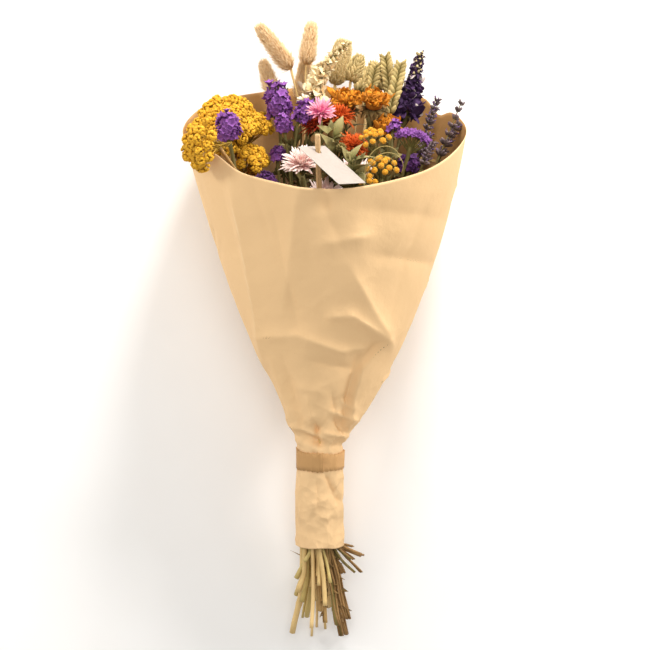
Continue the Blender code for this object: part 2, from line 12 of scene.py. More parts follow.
import bpy
import numpy as np
import numpy.typing as npt
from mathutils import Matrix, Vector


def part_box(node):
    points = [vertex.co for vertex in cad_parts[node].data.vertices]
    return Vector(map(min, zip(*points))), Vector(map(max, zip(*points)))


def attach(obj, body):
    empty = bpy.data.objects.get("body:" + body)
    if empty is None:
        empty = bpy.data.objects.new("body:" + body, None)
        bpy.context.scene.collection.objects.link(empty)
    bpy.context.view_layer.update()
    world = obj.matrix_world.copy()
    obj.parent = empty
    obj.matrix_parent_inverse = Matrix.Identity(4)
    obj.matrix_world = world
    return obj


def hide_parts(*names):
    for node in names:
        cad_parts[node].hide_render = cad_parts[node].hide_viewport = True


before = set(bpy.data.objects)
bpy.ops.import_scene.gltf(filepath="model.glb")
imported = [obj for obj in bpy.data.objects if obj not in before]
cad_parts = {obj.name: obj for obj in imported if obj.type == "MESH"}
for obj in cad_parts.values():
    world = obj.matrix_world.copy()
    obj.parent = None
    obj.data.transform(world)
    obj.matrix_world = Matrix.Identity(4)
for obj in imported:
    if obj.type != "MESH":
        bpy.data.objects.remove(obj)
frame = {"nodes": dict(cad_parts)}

Array = npt.NDArray[Any]
Colour = tuple[int, int, int]
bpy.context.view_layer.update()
MM = 0.001
GOLDEN = math.pi * (3 - math.sqrt(5))
MERGE_STEP = 0.02 * MM
HEAD_SECTIONS = 5
UP = np.array([0.0, 0.0, 1.0])
log = logging.getLogger("bouquet")


def linear(colour: Colour) -> tuple[float, ...]:
    """A colour as linear light from its 0 to 255 screen values, with an alpha of one."""
    parts = np.array(colour) / 255
    light = np.where(parts > 0.04045, ((parts + 0.055) / 1.055) ** 2.4, parts / 12.92)
    return (*(float(part) for part in light), 1.0)


def unit(vectors: Array) -> Array:
    """The vectors at length one."""
    return vectors / np.maximum(np.linalg.norm(vectors, axis=-1, keepdims=True), 1e-12)


def circle(count: int) -> Array:
    """Angles at even steps round a circle."""
    return np.linspace(0, 2 * math.pi, count, endpoint=False)


def smooth_curve(stations: Array, values: Array, at: Array) -> Array:
    """Cubics through the values that never overshoot: a value's slope is the harmonic mean of the slopes
    beside it, or level where they differ in sign.

    Args:
        stations: where the values stand, rising.
        values: one value for each station.
        at: where to read the curve.

    Returns:
        The curve's height at each place asked for.
    """
    rise = np.diff(values) / np.diff(stations)
    product = rise[:-1] * rise[1:]
    total = np.where(product > 0, rise[:-1] + rise[1:], 1)
    slopes = np.concatenate([rise[:1], np.where(product > 0, 2 * product / total, 0), rise[-1:]])
    at = np.clip(at, stations[0], stations[-1])
    i = np.clip(np.searchsorted(stations, at, side="right") - 1, 0, len(stations) - 2)
    span = stations[i + 1] - stations[i]
    t = (at - stations[i]) / span
    start = values[i] * (1 + 2 * t) * (1 - t) ** 2 + slopes[i] * span * t * (1 - t) ** 2
    end = values[i + 1] * t * t * (3 - 2 * t) + slopes[i + 1] * span * t * t * (t - 1)
    return start + end


# Shader maths


def operator(operation: str, reflected: bool = False) -> Callable[["Value", Any], "Value"]:
    """A method of Value that adds a Math node of one operation.

    Args:
        operation: the Math node's operation.
        reflected: whether the value is the second of the two inputs.

    Returns:
        The method. Its other input may be a plain number.
    """

    def apply(value: "Value", other: Any) -> "Value":
        """Adds the node."""
        first, second = (other, value) if reflected else (value, other)
        node = value.kit.node("ShaderNodeMath", {"operation": operation}, {0: first, 1: second})
        return Value(value.kit, node.outputs[0])

    return apply


class Value:
    """A number socket of a shader, on which Python's operators add Math nodes."""

    __add__ = operator("ADD")
    __radd__ = operator("ADD")
    __sub__ = operator("SUBTRACT")
    __rsub__ = operator("SUBTRACT", reflected=True)
    __mul__ = operator("MULTIPLY")
    __rmul__ = operator("MULTIPLY")

    def __init__(self, kit: "NodeKit", socket: bpy.types.NodeSocket) -> None:
        self.kit = kit
        self.socket = socket

    def between(self, low: float, high: float) -> "Value":
        """0 below low, 1 above high, and a smooth step between them."""
        settings = {"interpolation_type": "SMOOTHSTEP", "clamp": True}
        node = self.kit.node("ShaderNodeMapRange", settings, {0: self, 1: low, 2: high, 3: 0.0, 4: 1.0})
        return Value(self.kit, node.outputs[0])


class NodeKit:
    """Adds nodes to one material's tree."""

    def __init__(self, material: bpy.types.Material) -> None:
        """Empties the material's tree and gives it a shader and an output."""
        material.use_nodes = True
        self.tree = material.node_tree
        self.tree.nodes.clear()
        self.shader = self.node("ShaderNodeBsdfPrincipled", {}, {})
        self.node("ShaderNodeOutputMaterial", {}, {"Surface": self.shader.outputs[0]})

    def node(self, kind: str, settings: dict[str, Any], inputs: dict[Any, Any]) -> bpy.types.Node:
        """Adds a node.

        Args:
            kind: the node's type.
            settings: its own properties, set first.
            inputs: values or links for its sockets, by name or number.

        Returns:
            The node.
        """
        node = self.tree.nodes.new(kind)
        for name, value in settings.items():
            setattr(node, name, value)
        self.feed(node, inputs)
        return node

    def feed(self, node: bpy.types.Node, inputs: dict[Any, Any]) -> None:
        """Links or sets a node's sockets, by name or number."""
        for name, value in inputs.items():
            source = getattr(value, "socket", value)
            if isinstance(source, bpy.types.NodeSocket):
                self.tree.links.new(source, node.inputs[name])
            else:
                node.inputs[name].default_value = source

    def growth(self) -> tuple[Value, Value, Value]:
        """The piece's growth attribute: how far along a part, the part's own tone, and its shade."""
        read = self.node("ShaderNodeAttribute", {"attribute_name": "growth"}, {})
        parts = self.node("ShaderNodeSeparateXYZ", {}, {0: read.outputs["Vector"]})
        return tuple(Value(self, out) for out in parts.outputs)

    def place(self, stretch: Sequence[float] = (1, 1, 1)) -> bpy.types.NodeSocket:
        """The surface's own coordinates, stretched along each axis."""
        read = self.node("ShaderNodeTexCoord", {}, {})
        settings = {"operation": "MULTIPLY"}
        node = self.node("ShaderNodeVectorMath", settings, {0: read.outputs["Object"], 1: tuple(stretch)})
        return node.outputs[0]

    def noise(self, place: bpy.types.NodeSocket, scale: float, detail: float = 3) -> Value:
        """Fractal noise from 0 to 1 at so many swells in a metre."""
        inputs = {"Vector": place, "Scale": scale, "Detail": detail, "Roughness": 0.6}
        return Value(self, self.node("ShaderNodeTexNoise", {}, inputs).outputs[0])

    def cells(self, place: bpy.types.NodeSocket, scale: float) -> Value:
        """Distance from the nearest of scattered points, at so many of them in a metre."""
        node = self.node("ShaderNodeTexVoronoi", {}, {"Vector": place, "Scale": scale})
        return Value(self, node.outputs[0])

    def mix(self, first: Any, second: Any, share: Any) -> bpy.types.NodeSocket:
        """Two colours, each a screen colour or a socket, mixed by a share."""
        settings = {"data_type": "RGBA", "blend_type": "MIX", "clamp_factor": True}
        pair = [linear(c) if isinstance(c, tuple) else c for c in (first, second)]
        node = self.node("ShaderNodeMix", settings, {0: share, 6: pair[0], 7: pair[1]})
        return node.outputs[2]

    def finish(self, colour: Any, roughness: Any, height: Value, depth: float, **constants: float) -> None:
        """Feeds the shader: colour, roughness, a bump of the given depth, and its constant sockets."""
        bump = self.node("ShaderNodeBump", {}, {"Height": height, "Distance": depth, "Strength": 1.0})
        fed = {"Base Color": colour, "Roughness": roughness, "Normal": bump.outputs[0]}
        self.feed(self.shader, fed | {name.replace("_", " "): value for name, value in constants.items()})


@dataclass(frozen=True)
class Finish:
    """A finish and the one material that is made from it."""

    name: str

    def material(self) -> bpy.types.Material:
        """The material of this finish, made the first time it is asked for."""
        made = bpy.data.materials.get(self.name)
        if not made:
            made = bpy.data.materials.new(self.name)
            self.dress(NodeKit(made))
        return made

    def dress(self, kit: NodeKit) -> None:
        """Each kind of finish adds its own nodes."""
        raise NotImplementedError


@dataclass(frozen=True)
class PlantFinish(Finish):
    """Dry plant matter: its colour goes from root to tip along each part, each part has its own tone, and
    it is mottled towards a shade.

    The tone and a noise are summed, and where the sum is high the colour turns towards the shade."""

    root: Colour
    tip: Colour
    shade: Colour
    roughness: float = 0.75
    turn: float = 0.5
    blotch: float = 420.0
    relief: float = 0.00025
    shading: float = 0.6
    sheen: float = 0.0

    def dress(self, kit: NodeKit) -> None:
        """Adds the finish's nodes."""
        along, tone, shade = kit.growth()
        place = kit.place()
        blotches = kit.noise(place, self.blotch)
        fine = kit.noise(place, 6 * self.blotch, 2)
        turned = (along + (blotches - 0.5) * 0.5).between(self.turn - 0.4, self.turn + 0.4)
        colour = kit.mix(self.root, self.tip, turned)
        amount = (tone * 0.7 + blotches * 0.6 + fine * 0.25 - 0.28).between(0.25, 1.05) * self.shading
        colour = kit.mix(colour, self.shade, amount)
        colour = kit.mix(colour, self.shade, shade.between(0, 1) * 0.85)
        kit.finish(
            colour, fine * 0.2 + (self.roughness - 0.1), fine * 0.5 + blotches, self.relief,
            Sheen_Weight=self.sheen, Specular_IOR_Level=0.25,
        )


@dataclass(frozen=True)
class PaperFinish(Finish):
    """Kraft paper: long fibres and faint machine lines across the sheet, specks, and a bump of fine
    wrinkles. Worn fold lines, which the growth attribute's shade marks, are lighter, and the last stretch of
    a strip, which its tone marks, takes a darker colour of its own. A deep colour, where given, is painted
    shade: the paper darkens towards it below the rim, down inside the wrap."""

    base: Colour
    dark: Colour
    light: Colour
    speck: Colour
    wrinkle: float = 0.0012
    roughness: float = 0.78
    darker_stretch: Colour | None = None
    # deep is painted shade: the colour that the paper darkens towards below the rim, down inside the wrap.
    deep: Colour | None = None
    crumpled: float = 3.6

    def dress(self, kit: NodeKit) -> None:
        """Adds the finish's nodes."""
        along, on_darker_stretch, worn = kit.growth()
        plain = kit.place()
        fibres = kit.noise(kit.place((1.0, 0.12, 1.0)), 1500, 4)
        cloud = kit.noise(plain, 9, 4)
        grain = kit.noise(plain, 2600, 2)
        specks = kit.noise(plain, 700, 2).between(0.72, 0.8)
        wrinkles = kit.noise(plain, 55, 5)
        colour = kit.mix(self.base, self.dark, (cloud * 0.7 + fibres * 0.5 - 0.25).between(0.2, 0.8) * 0.55)
        colour = kit.mix(colour, self.light, (grain * 0.5 + fibres * 0.6).between(0.5, 0.9) * 0.35)
        colour = kit.mix(colour, self.light, worn.between(0.1, 0.9) * 0.75)
        # The last stretch of a strip, which its tone marks, takes the darker colour.
        if self.darker_stretch:
            colour = kit.mix(colour, self.darker_stretch, on_darker_stretch.between(0.4, 0.6) * (grain * 0.6 + 0.5))
        # Painted shade: below the rim, the inside of the wrap darkens towards the deep colour.
        if self.deep:
            colour = kit.mix(self.deep, colour, along.between(0.86, 1.0) * 0.85 + 0.15)
        colour = kit.mix(colour, self.speck, specks * 0.45)
        drift = kit.node("ShaderNodeTexNoise", {}, {"Vector": plain, "Scale": 22.0, "Detail": 2.0})
        settings = {"operation": "SCALE"}
        swirl = kit.node("ShaderNodeVectorMath", settings, {0: drift.outputs["Color"], "Scale": 0.012})
        bent = kit.node("ShaderNodeVectorMath", {"operation": "ADD"}, {0: plain, 1: swirl.outputs[0]})
        facets = kit.cells(bent.outputs[0], 42.0) + kit.cells(bent.outputs[0], 105.0) * 0.3
        near = (1.0 - along).between(0.3, 0.8) * 0.88 + 0.12
        height = wrinkles * 0.7 + fibres * 0.03 + grain * 0.03 + facets * near * self.crumpled
        rough = fibres * 0.15 + (self.roughness - 0.07)
        kit.finish(colour, rough, height, self.wrinkle, Specular_IOR_Level=0.3)


@dataclass(frozen=True)
class PlainFinish(Finish):
    """Card, wood or floor: one colour towards another along stretched noise, with a slight bump."""

    base: Colour
    other: Colour
    stretch: tuple[float, float, float]
    scale: float
    roughness: float
    relief: float

    def dress(self, kit: NodeKit) -> None:
        """Adds the finish's nodes."""
        streaks = kit.noise(kit.place(self.stretch), self.scale, 4)
        fine = kit.noise(kit.place(), 5 * self.scale, 2)
        colour = kit.mix(self.base, self.other, (streaks * 0.8 + fine * 0.3).between(0.35, 0.85))
        kit.finish(colour, streaks * 0.15 + (self.roughness - 0.07), streaks + fine * 0.3, self.relief)


class Dry(Enum):
    """The finishes of the plants."""

    BUNNY = PlantFinish(
        "bunny_tail_hair", (246, 204, 146), (252, 226, 182), (220, 170, 110), 0.9, 0.45, 260, shading=0.5)
    BUNNY_GREEN = PlantFinish(
        "big_bunny_tail_hair", (214, 184, 122), (240, 218, 166), (168, 140, 80), 0.9, 0.5, 260, shading=0.6)
    GLUME = PlantFinish("canary_grass_scale", (164, 142, 84), (226, 200, 140), (122, 104, 52))
    WHEAT = PlantFinish("wheat_ear_husk", (124, 108, 56), (196, 170, 110), (92, 80, 38))
    AWN = PlantFinish("wheat_awn", (196, 170, 106), (226, 200, 138), (148, 128, 68))
    VIOLET = PlantFinish("larkspur_violet_petal", (48, 24, 56), (72, 44, 84), (28, 14, 28), 0.7, 0.4, 500)
    VIOLET_EDGE = PlantFinish(
        "larkspur_pale_petal", (104, 78, 104), (216, 198, 186), (66, 44, 68), 0.7, 0.5, 500, shading=0.4)
    CREAM = PlantFinish(
        "larkspur_cream_petal", (238, 202, 138), (254, 234, 188), (216, 172, 108), 0.7, 0.35, 500,
        shading=0.3)
    BUD = PlantFinish("larkspur_bud", (176, 154, 96), (220, 200, 150), (132, 114, 66))
    LAVENDER = PlantFinish("lavender_calyx", (98, 82, 72), (134, 114, 116), (56, 42, 48))
    LAVENDER_PETAL = PlantFinish("lavender_petal", (94, 68, 112), (130, 102, 150), (60, 40, 80))
    STATICE = PlantFinish(
        "statice_calyx", (86, 34, 100), (168, 104, 184), (60, 22, 74), 0.7, 0.6, 380, shading=0.55)
    # Painted shade: a darker copy of the statice for sprays that sit down in the shade of the bouquet.
    STATICE_SHADED = PlantFinish(
        "statice_calyx_painted_shade", (60, 28, 66), (108, 62, 122), (36, 16, 42), 0.7, 0.5, 380, shading=0.6)
    STATICE_CUP = PlantFinish("statice_cup", (110, 102, 58), (132, 104, 92), (76, 68, 36))
    YARROW = PlantFinish(
        "yarrow_floret", (188, 132, 28), (236, 180, 48), (150, 102, 20), 0.8, 0.4, 600, shading=0.6)
    YARROW_CUP = PlantFinish("yarrow_cup", (158, 124, 44), (196, 146, 40), (112, 86, 30))
    PINK = PlantFinish(
        "pink_star_ray", (226, 92, 140), (246, 178, 190), (196, 60, 118), 0.55, 0.6, 300, shading=0.4)
    PINK_HEART = PlantFinish("pink_star_heart", (226, 84, 150), (242, 130, 180), (200, 48, 118), 0.7)
    PALE = PlantFinish(
        "pale_star_ray", (228, 160, 158), (252, 228, 216), (216, 166, 160), 0.55, 0.4, 300, shading=0.3)
    PALE_HEART = PlantFinish("pale_star_heart", (214, 116, 134), (238, 186, 170), (178, 100, 90), 0.75)
    SAFFLOWER = PlantFinish(
        "safflower_thread", (186, 52, 14), (228, 104, 36), (150, 32, 10), 0.75, 0.55, 700, shading=0.5)
    SAFFLOWER_DARK = PlantFinish(
        "safflower_thread_dark", (148, 36, 16), (190, 62, 26), (104, 22, 10), 0.75, 0.55, 700)
    GOLD = PlantFinish(
        "golden_daisy_petal", (150, 74, 14), (226, 146, 36), (112, 54, 12), 0.7, 0.45, 320, shading=0.65)
    BUTTON = PlantFinish(
        "button_floret", (192, 124, 24), (234, 172, 52), (160, 96, 16), 0.8, 0.35, 700, shading=0.5)
    WHITE_RAY = PlantFinish(
        "winged_daisy_ray", (236, 210, 168), (254, 242, 216), (212, 182, 136), 0.55, 0.4, 400, shading=0.3)
    LEAF = PlantFinish("grey_green_leaf", (122, 116, 64), (164, 150, 98), (84, 76, 38), 0.75, 0.5, 240)
    LEAF_DEEP = PlantFinish("deep_green_leaf", (94, 88, 46), (126, 116, 66), (58, 50, 26), 0.75, 0.5, 240)
    LEAF_BROWN = PlantFinish("withered_leaf", (104, 84, 46), (146, 116, 66), (66, 52, 28), 0.8, 0.5, 240)
    BRACT = PlantFinish("green_bract", (120, 114, 60), (154, 134, 80), (84, 72, 36))
    STRAW = PlantFinish("straw_stem", (232, 198, 138), (226, 190, 128), (188, 156, 92), 0.6, 0.5, 90, 0.0002)
    PALE_GREEN = PlantFinish(
        "pale_green_stem", (204, 180, 114), (190, 164, 98), (158, 134, 72), 0.6, 0.5, 90, 0.0002)
    TAN = PlantFinish(
        "tan_stem", (198, 160, 102), (184, 144, 88), (128, 94, 50), 0.7, 0.5, 220, 0.0005, shading=0.9)
    GREEN = PlantFinish("green_stem", (122, 112, 58), (134, 122, 70), (84, 76, 38), 0.7, 0.5, 160, 0.0003)
    BARK = PlantFinish(
        "bark_stem", (166, 128, 80), (140, 112, 66), (88, 60, 34), 0.8, 0.5, 300, 0.0006, shading=0.8)
    DARK = PlantFinish(
        "dark_stem", (132, 116, 64), (112, 100, 56), (66, 50, 28), 0.8, 0.5, 260, 0.0006, shading=0.8)


KRAFT = PaperFinish("kraft_outside", (240, 200, 148), (231, 188, 134), (253, 222, 176),
                    (192, 148, 96))
# Inside of the wrap: a darker, warmer copy of the outside kraft, painted shade warmed by light through the
# paper.
KRAFT_INSIDE_SHADED = PaperFinish("kraft_inside_painted_shade", (190, 142, 86), (172, 124, 72),
                           (204, 158, 102), (146, 102, 56), deep=(70, 48, 26))
# The band is darker over the strip's last stretch, round its front and left.
BAND_KRAFT = PaperFinish("band_kraft", (214, 166, 110), (200, 150, 96), (228, 184, 130),
                         (180, 134, 84), 0.0008, darker_stretch=(190, 146, 94))
CARD = PlainFinish("tag_card_stock", (173, 161, 150), (166, 153, 140), (1, 1, 1), 300, 0.6, 0.00006)
WOOD = PlainFinish("pick_birch", (222, 184, 132), (186, 142, 90), (1, 0.06, 1), 900, 0.6, 0.00015)
ELASTIC = PlainFinish("tie_elastic", (190, 156, 110), (150, 118, 78), (1, 1, 1), 500, 0.7, 0.0001)
FLOOR = PlainFinish("studio_floor", (250, 248, 245), (247, 244, 240), (1, 1, 1), 3, 0.8, 0.0)


# Surfaces


@dataclass
class Surface:
    """Points, four- and three-sided faces, and each point's growth: along its part, tone and shade."""

    points: Array
    quads: Array
    tris: Array
    growth: Array

    @staticmethod
    def joined(surfaces: Sequence["Surface"]) -> "Surface":
        """Several surfaces as one, with their faces counted on."""
        starts = np.cumsum([0] + [len(s.points) for s in surfaces[:-1]])
        return Surface(
            np.concatenate([s.points for s in surfaces]),
            np.concatenate([s.quads + start for s, start in zip(surfaces, starts)]),
            np.concatenate([s.tris + start for s, start in zip(surfaces, starts)]),
            np.concatenate([s.growth for s in surfaces]),
        )

    def scattered(
        self, origins: Array, frames: Array, scales: Array, tones: Array, bends: Array | float = 0.0
    ) -> "Surface":
        """Copies of this template: each is scaled, bent by a share of its height squared towards its
        facing side, turned into its frame and moved to its origin.

        Args:
            origins: where each copy starts, (N, 3).
            frames: each copy's across, facing and along directions, (N, 3, 3).
            scales: each copy's size along those directions, (N, 3) or (N, 1).
            tones: each copy's tone from 0 to 1, (N,).
            bends: each copy's bend, one over metres.

        Returns:
            All the copies as one surface.
        """
        count = len(origins)
        local = self.points[None] * scales[:, None, :]
        local[..., 1] += np.broadcast_to(bends, (count,))[:, None] * local[..., 2] ** 2
        world = origins[:, None, :] + np.einsum("npj,njk->npk", local, frames)
        starts = (np.arange(count) * len(self.points))[:, None, None]
        growth = np.repeat(self.growth[None], count, axis=0)
        growth[..., 1] = tones[:, None]
        return Surface(
            world.reshape(-1, 3),
            (self.quads[None] + starts).reshape(-1, 4),
            (self.tris[None] + starts).reshape(-1, 3),
            growth.reshape(-1, 3),
        )


def solids(grids: Array, tones: Array | float = 0.5) -> Surface:
    """Closed solids from grids of points: each grid's rows are sections, joined by quads and closed at
    both ends by a fan to the section's middle.

    Args:
        grids: (N, rows, sides, 3) or one grid of (rows, sides, 3).
        tones: each solid's tone from 0 to 1.

    Returns:
        The solids, whose growth runs from 0 at the first row to 1 at the last.
    """
    grids = grids if grids.ndim == 4 else grids[None]
    count, rows, sides, _ = grids.shape
    ends = grids[:, [0, -1]].mean(axis=2)
    points = np.concatenate([grids.reshape(count, -1, 3), ends], axis=1)
    here = np.arange(sides)
    beside = (here + 1) % sides
    level = (np.arange(rows - 1) * sides)[:, None]
    quads = np.stack([level + here, level + beside, level + beside + sides, level + here + sides], axis=-1)
    last = (rows - 1) * sides
    foot = np.stack([np.full(sides, rows * sides), beside, here], axis=-1)
    top = np.stack([np.full(sides, rows * sides + 1), last + here, last + beside], axis=-1)
    starts = (np.arange(count) * (rows * sides + 2))[:, None, None]
    along = np.concatenate([np.repeat(np.linspace(0, 1, rows), sides), [0, 1]])
    growth = np.zeros((count, rows * sides + 2, 3))
    growth[..., 0] = along
    growth[..., 1] = np.broadcast_to(tones, (count,))[:, None]
    return Surface(
        points.reshape(-1, 3),
        (quads.reshape(-1, 4) + starts).reshape(-1, 4),
        (np.concatenate([foot, top]) + starts).reshape(-1, 3),
        growth.reshape(-1, 3),
    )


def tubes(
    paths: Array, radii: Array | float, sides: int, tones: Array | float = 0.5, ridges: float = 0.0
) -> Surface:
    """Round solids swept along paths: at each point a circle across the path, its radius raised and
    lowered round the circle where the stem is ridged.

    Args:
        paths: (N, points, 3).
        radii: one, (points,) or (N, points).
        sides: points in a section.
        tones: each solid's tone.
        ridges: share of the radius by which three ridges stand out.

    Returns:
        The closed solids.
    """
    tangents = unit(np.gradient(paths, axis=1))
    hint = np.where(np.abs(tangents[..., 2:]) > 0.9, np.array([1.0, 0, 0]), UP)
    side = unit(np.cross(tangents, hint))
    above = np.cross(side, tangents)
    angle = circle(sides)
    wide = np.broadcast_to(radii, paths.shape[:2])[..., None] * (1 + ridges * np.cos(3 * angle))
    ring = np.cos(angle)[:, None] * above[..., None, :] + np.sin(angle)[:, None] * side[..., None, :]
    return solids(paths[:, :, None, :] + wide[..., None] * ring, tones)


def petal(
    widths: Sequence[float], thick: float, cup: float = 0.0, curl: float = 0.0, sides: int = 4
) -> Surface:
    """A petal, leaf or scale of length one along z, as a thin closed solid: its half width follows the
    given values, its edges rise by cup times their distance from the midrib, and it curls by curl times
    its height squared.

    Args:
        widths: half widths at even steps from root to tip.
        thick: half the thickness at the midrib.
        cup: how far the edges stand up.
        curl: how far the tip stands up.
        sides: points in a section.

    Returns:
        The template.
    """
    height = np.linspace(0, 1, len(widths))[:, None]
    angle = circle(sides)
    x = np.array(widths)[:, None] * np.cos(angle)
    y = thick * np.sin(angle) * np.ones_like(height) + cup * np.abs(x) + curl * height**2
    return solids(np.stack(np.broadcast_arrays(x, y, height), axis=-1))


def revolved(
    heights: Sequence[float], radii: Sequence[float], sides: int, ruffle: float = 0.0, waves: int = 5
) -> Surface:
    """A solid turned about z from its profile. Ruffle makes its outline wave where it is widest.

    Args:
        heights: the profile's heights, which may turn back down for a hollow.
        radii: the profile's radii.
        sides: points in a section.
        ruffle: share of the radius by which the rim waves in and out, and up and down.
        waves: how many waves go round.

    Returns:
        The template.
    """
    angle = circle(sides)
    high, wide = np.array(heights)[:, None], np.array(radii)[:, None]
    share = (wide / max(radii)) ** 2
    wave = ruffle * share * np.cos(waves * angle)
    x = wide * (1 + wave) * np.cos(angle)
    y = wide * (1 + wave) * np.sin(angle)
    z = high + 0.5 * ruffle * max(radii) * share * np.sin(waves * angle + 1.0)
    return solids(np.stack([x, y, z], axis=-1))


def frames_along(along: Array, facing: Array) -> Array:
    """Frames of across, facing and along directions: facing is the hint, less its part along."""
    along = unit(along)
    face = np.broadcast_to(facing, along.shape)
    face = unit(face - (face * along).sum(axis=-1, keepdims=True) * along)
    return np.stack([np.cross(face, along), face, along], axis=1)


def spiral(count: int, start: float = 0.0) -> tuple[Array, Array]:
    """Shares from 0 to 1 at even steps and their angles on a growth spiral."""
    steps = np.arange(count)
    return (steps + 0.5) / count, start + steps * GOLDEN


def on_half_ball(polar: Array, around: Array) -> Array:
    """Directions at an angle from the pole and an angle round it."""
    return np.stack([np.sin(polar) * np.cos(around), np.sin(polar) * np.sin(around), np.cos(polar)], axis=-1)


def packed_points(node: str) -> Array:
    """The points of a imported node's mesh."""
    mesh = frame["nodes"][node].data
    points = np.empty(len(mesh.vertices) * 3, np.float32)
    mesh.vertices.foreach_get("co", points)
    return points.reshape(-1, 3).astype(float)


# Plants


@dataclass
class Head:
    """Where a flower head grows: its base, its frame (across, facing, axis), its length and radius."""

    base: Array
    frame: Array
    length: float
    radius: float

    def world(self, local: Array) -> Array:
        """Points of the head's own frame in the row's frame."""
        return self.base + local @ self.frame

    def on_axis(self, height: Array) -> Array:
        """Places on the axis."""
        return self.world(height[:, None] * UP)

    def turned(self, local: Array) -> Array:
        """Directions of the head's own frame in the row's frame."""
        return local @ self.frame

    def around(self, radius: Array | float, angle: Array, height: Array | float) -> Array:
        """Places on circles about the axis."""
        circle = np.broadcast_arrays(radius * np.cos(angle), radius * np.sin(angle), height)
        return self.world(np.stack(circle, axis=-1))

    def outward(self, angle: Array, lift: Array | float) -> Array:
        """Directions that lean out from the axis by 90 degrees less lift, in radians."""
        lift = np.broadcast_to(lift, angle.shape)
        local = np.stack([np.cos(lift) * np.cos(angle), np.cos(lift) * np.sin(angle), np.sin(lift)], axis=-1)
        return self.turned(local)


@dataclass
class Stem:
    """One packed plant solid read back as its line of sections: the graph of its mesh is walked from the
    tip, and each step of the walk reaches the next section down."""

    name: str
    centres: Array = field(init=False)
    radii: Array = field(init=False)

    def __post_init__(self) -> None:
        """Reads the sections and puts them from the cut end to the tip."""
        mesh = frame["nodes"][self.name].data
        keys = np.round(packed_points(self.name) / MERGE_STEP).astype(np.int64)
        places, index = np.unique(keys, axis=0, return_inverse=True)
        places = places * MERGE_STEP
        corners = np.empty(len(mesh.loops), np.int32)
        mesh.loops.foreach_get("vertex_index", corners)
        faces = index.reshape(-1)[corners].reshape(-1, 3)
        near = np.zeros((len(places), len(places)), bool)
        for a, b in ((0, 1), (1, 2), (2, 0)):
            near[faces[:, a], faces[:, b]] = near[faces[:, b], faces[:, a]] = True
        foot = int(np.argmin(places[:, 1]))
        tip = int(np.argmax(self.steps_from(near, foot)))
        step = self.steps_from(near, tip)
        rings = [places[step == level] for level in range(int(step.max()), 0, -1)]
        self.centres = np.array([ring.mean(axis=0) for ring in rings])
        self.radii = np.array([np.linalg.norm(ring - ring.mean(axis=0), axis=1).mean() for ring in rings])

    @staticmethod
    def steps_from(near: Array, start: int) -> Array:
        """How many edges away every point of the graph is."""
        steps = np.full(len(near), -1)
        front = np.zeros(len(near), bool)
        front[start] = True
        level = 0
        while front.any():
            steps[front] = level
            front = near[front].any(axis=0) & (steps < 0)
            level += 1
        return steps

    def head(self) -> Head:
        """The head's place: its facing side looks up, away from the surface."""
        base, tip = self.centres[-HEAD_SECTIONS], self.centres[-1]
        axis = unit(tip - base)
        axes = frames_along(axis[None], UP)[0]
        return Head(base, axes, float(np.linalg.norm(tip - base)), float(self.radii[-HEAD_SECTIONS:].max()))

    def line(self, first: float, last: float, count: int) -> tuple[Array, Array]:
        """Points and radii along the stem between two shares of it, 0 at the cut and 1 at the head's
        base, read from a smooth curve through its sections."""
        cut = len(self.centres) - HEAD_SECTIONS + 1
        run = np.concatenate([[0], np.cumsum(np.linalg.norm(np.diff(self.centres[:cut], axis=0), axis=1))])
        at = np.linspace(first, last, count) * run[-1]
        path = np.stack([smooth_curve(run, self.centres[:cut, k], at) for k in range(3)], axis=-1)
        return path, smooth_curve(run, self.radii[:cut], at)


WEATHERED = (Dry.DARK, Dry.BARK, Dry.TAN)


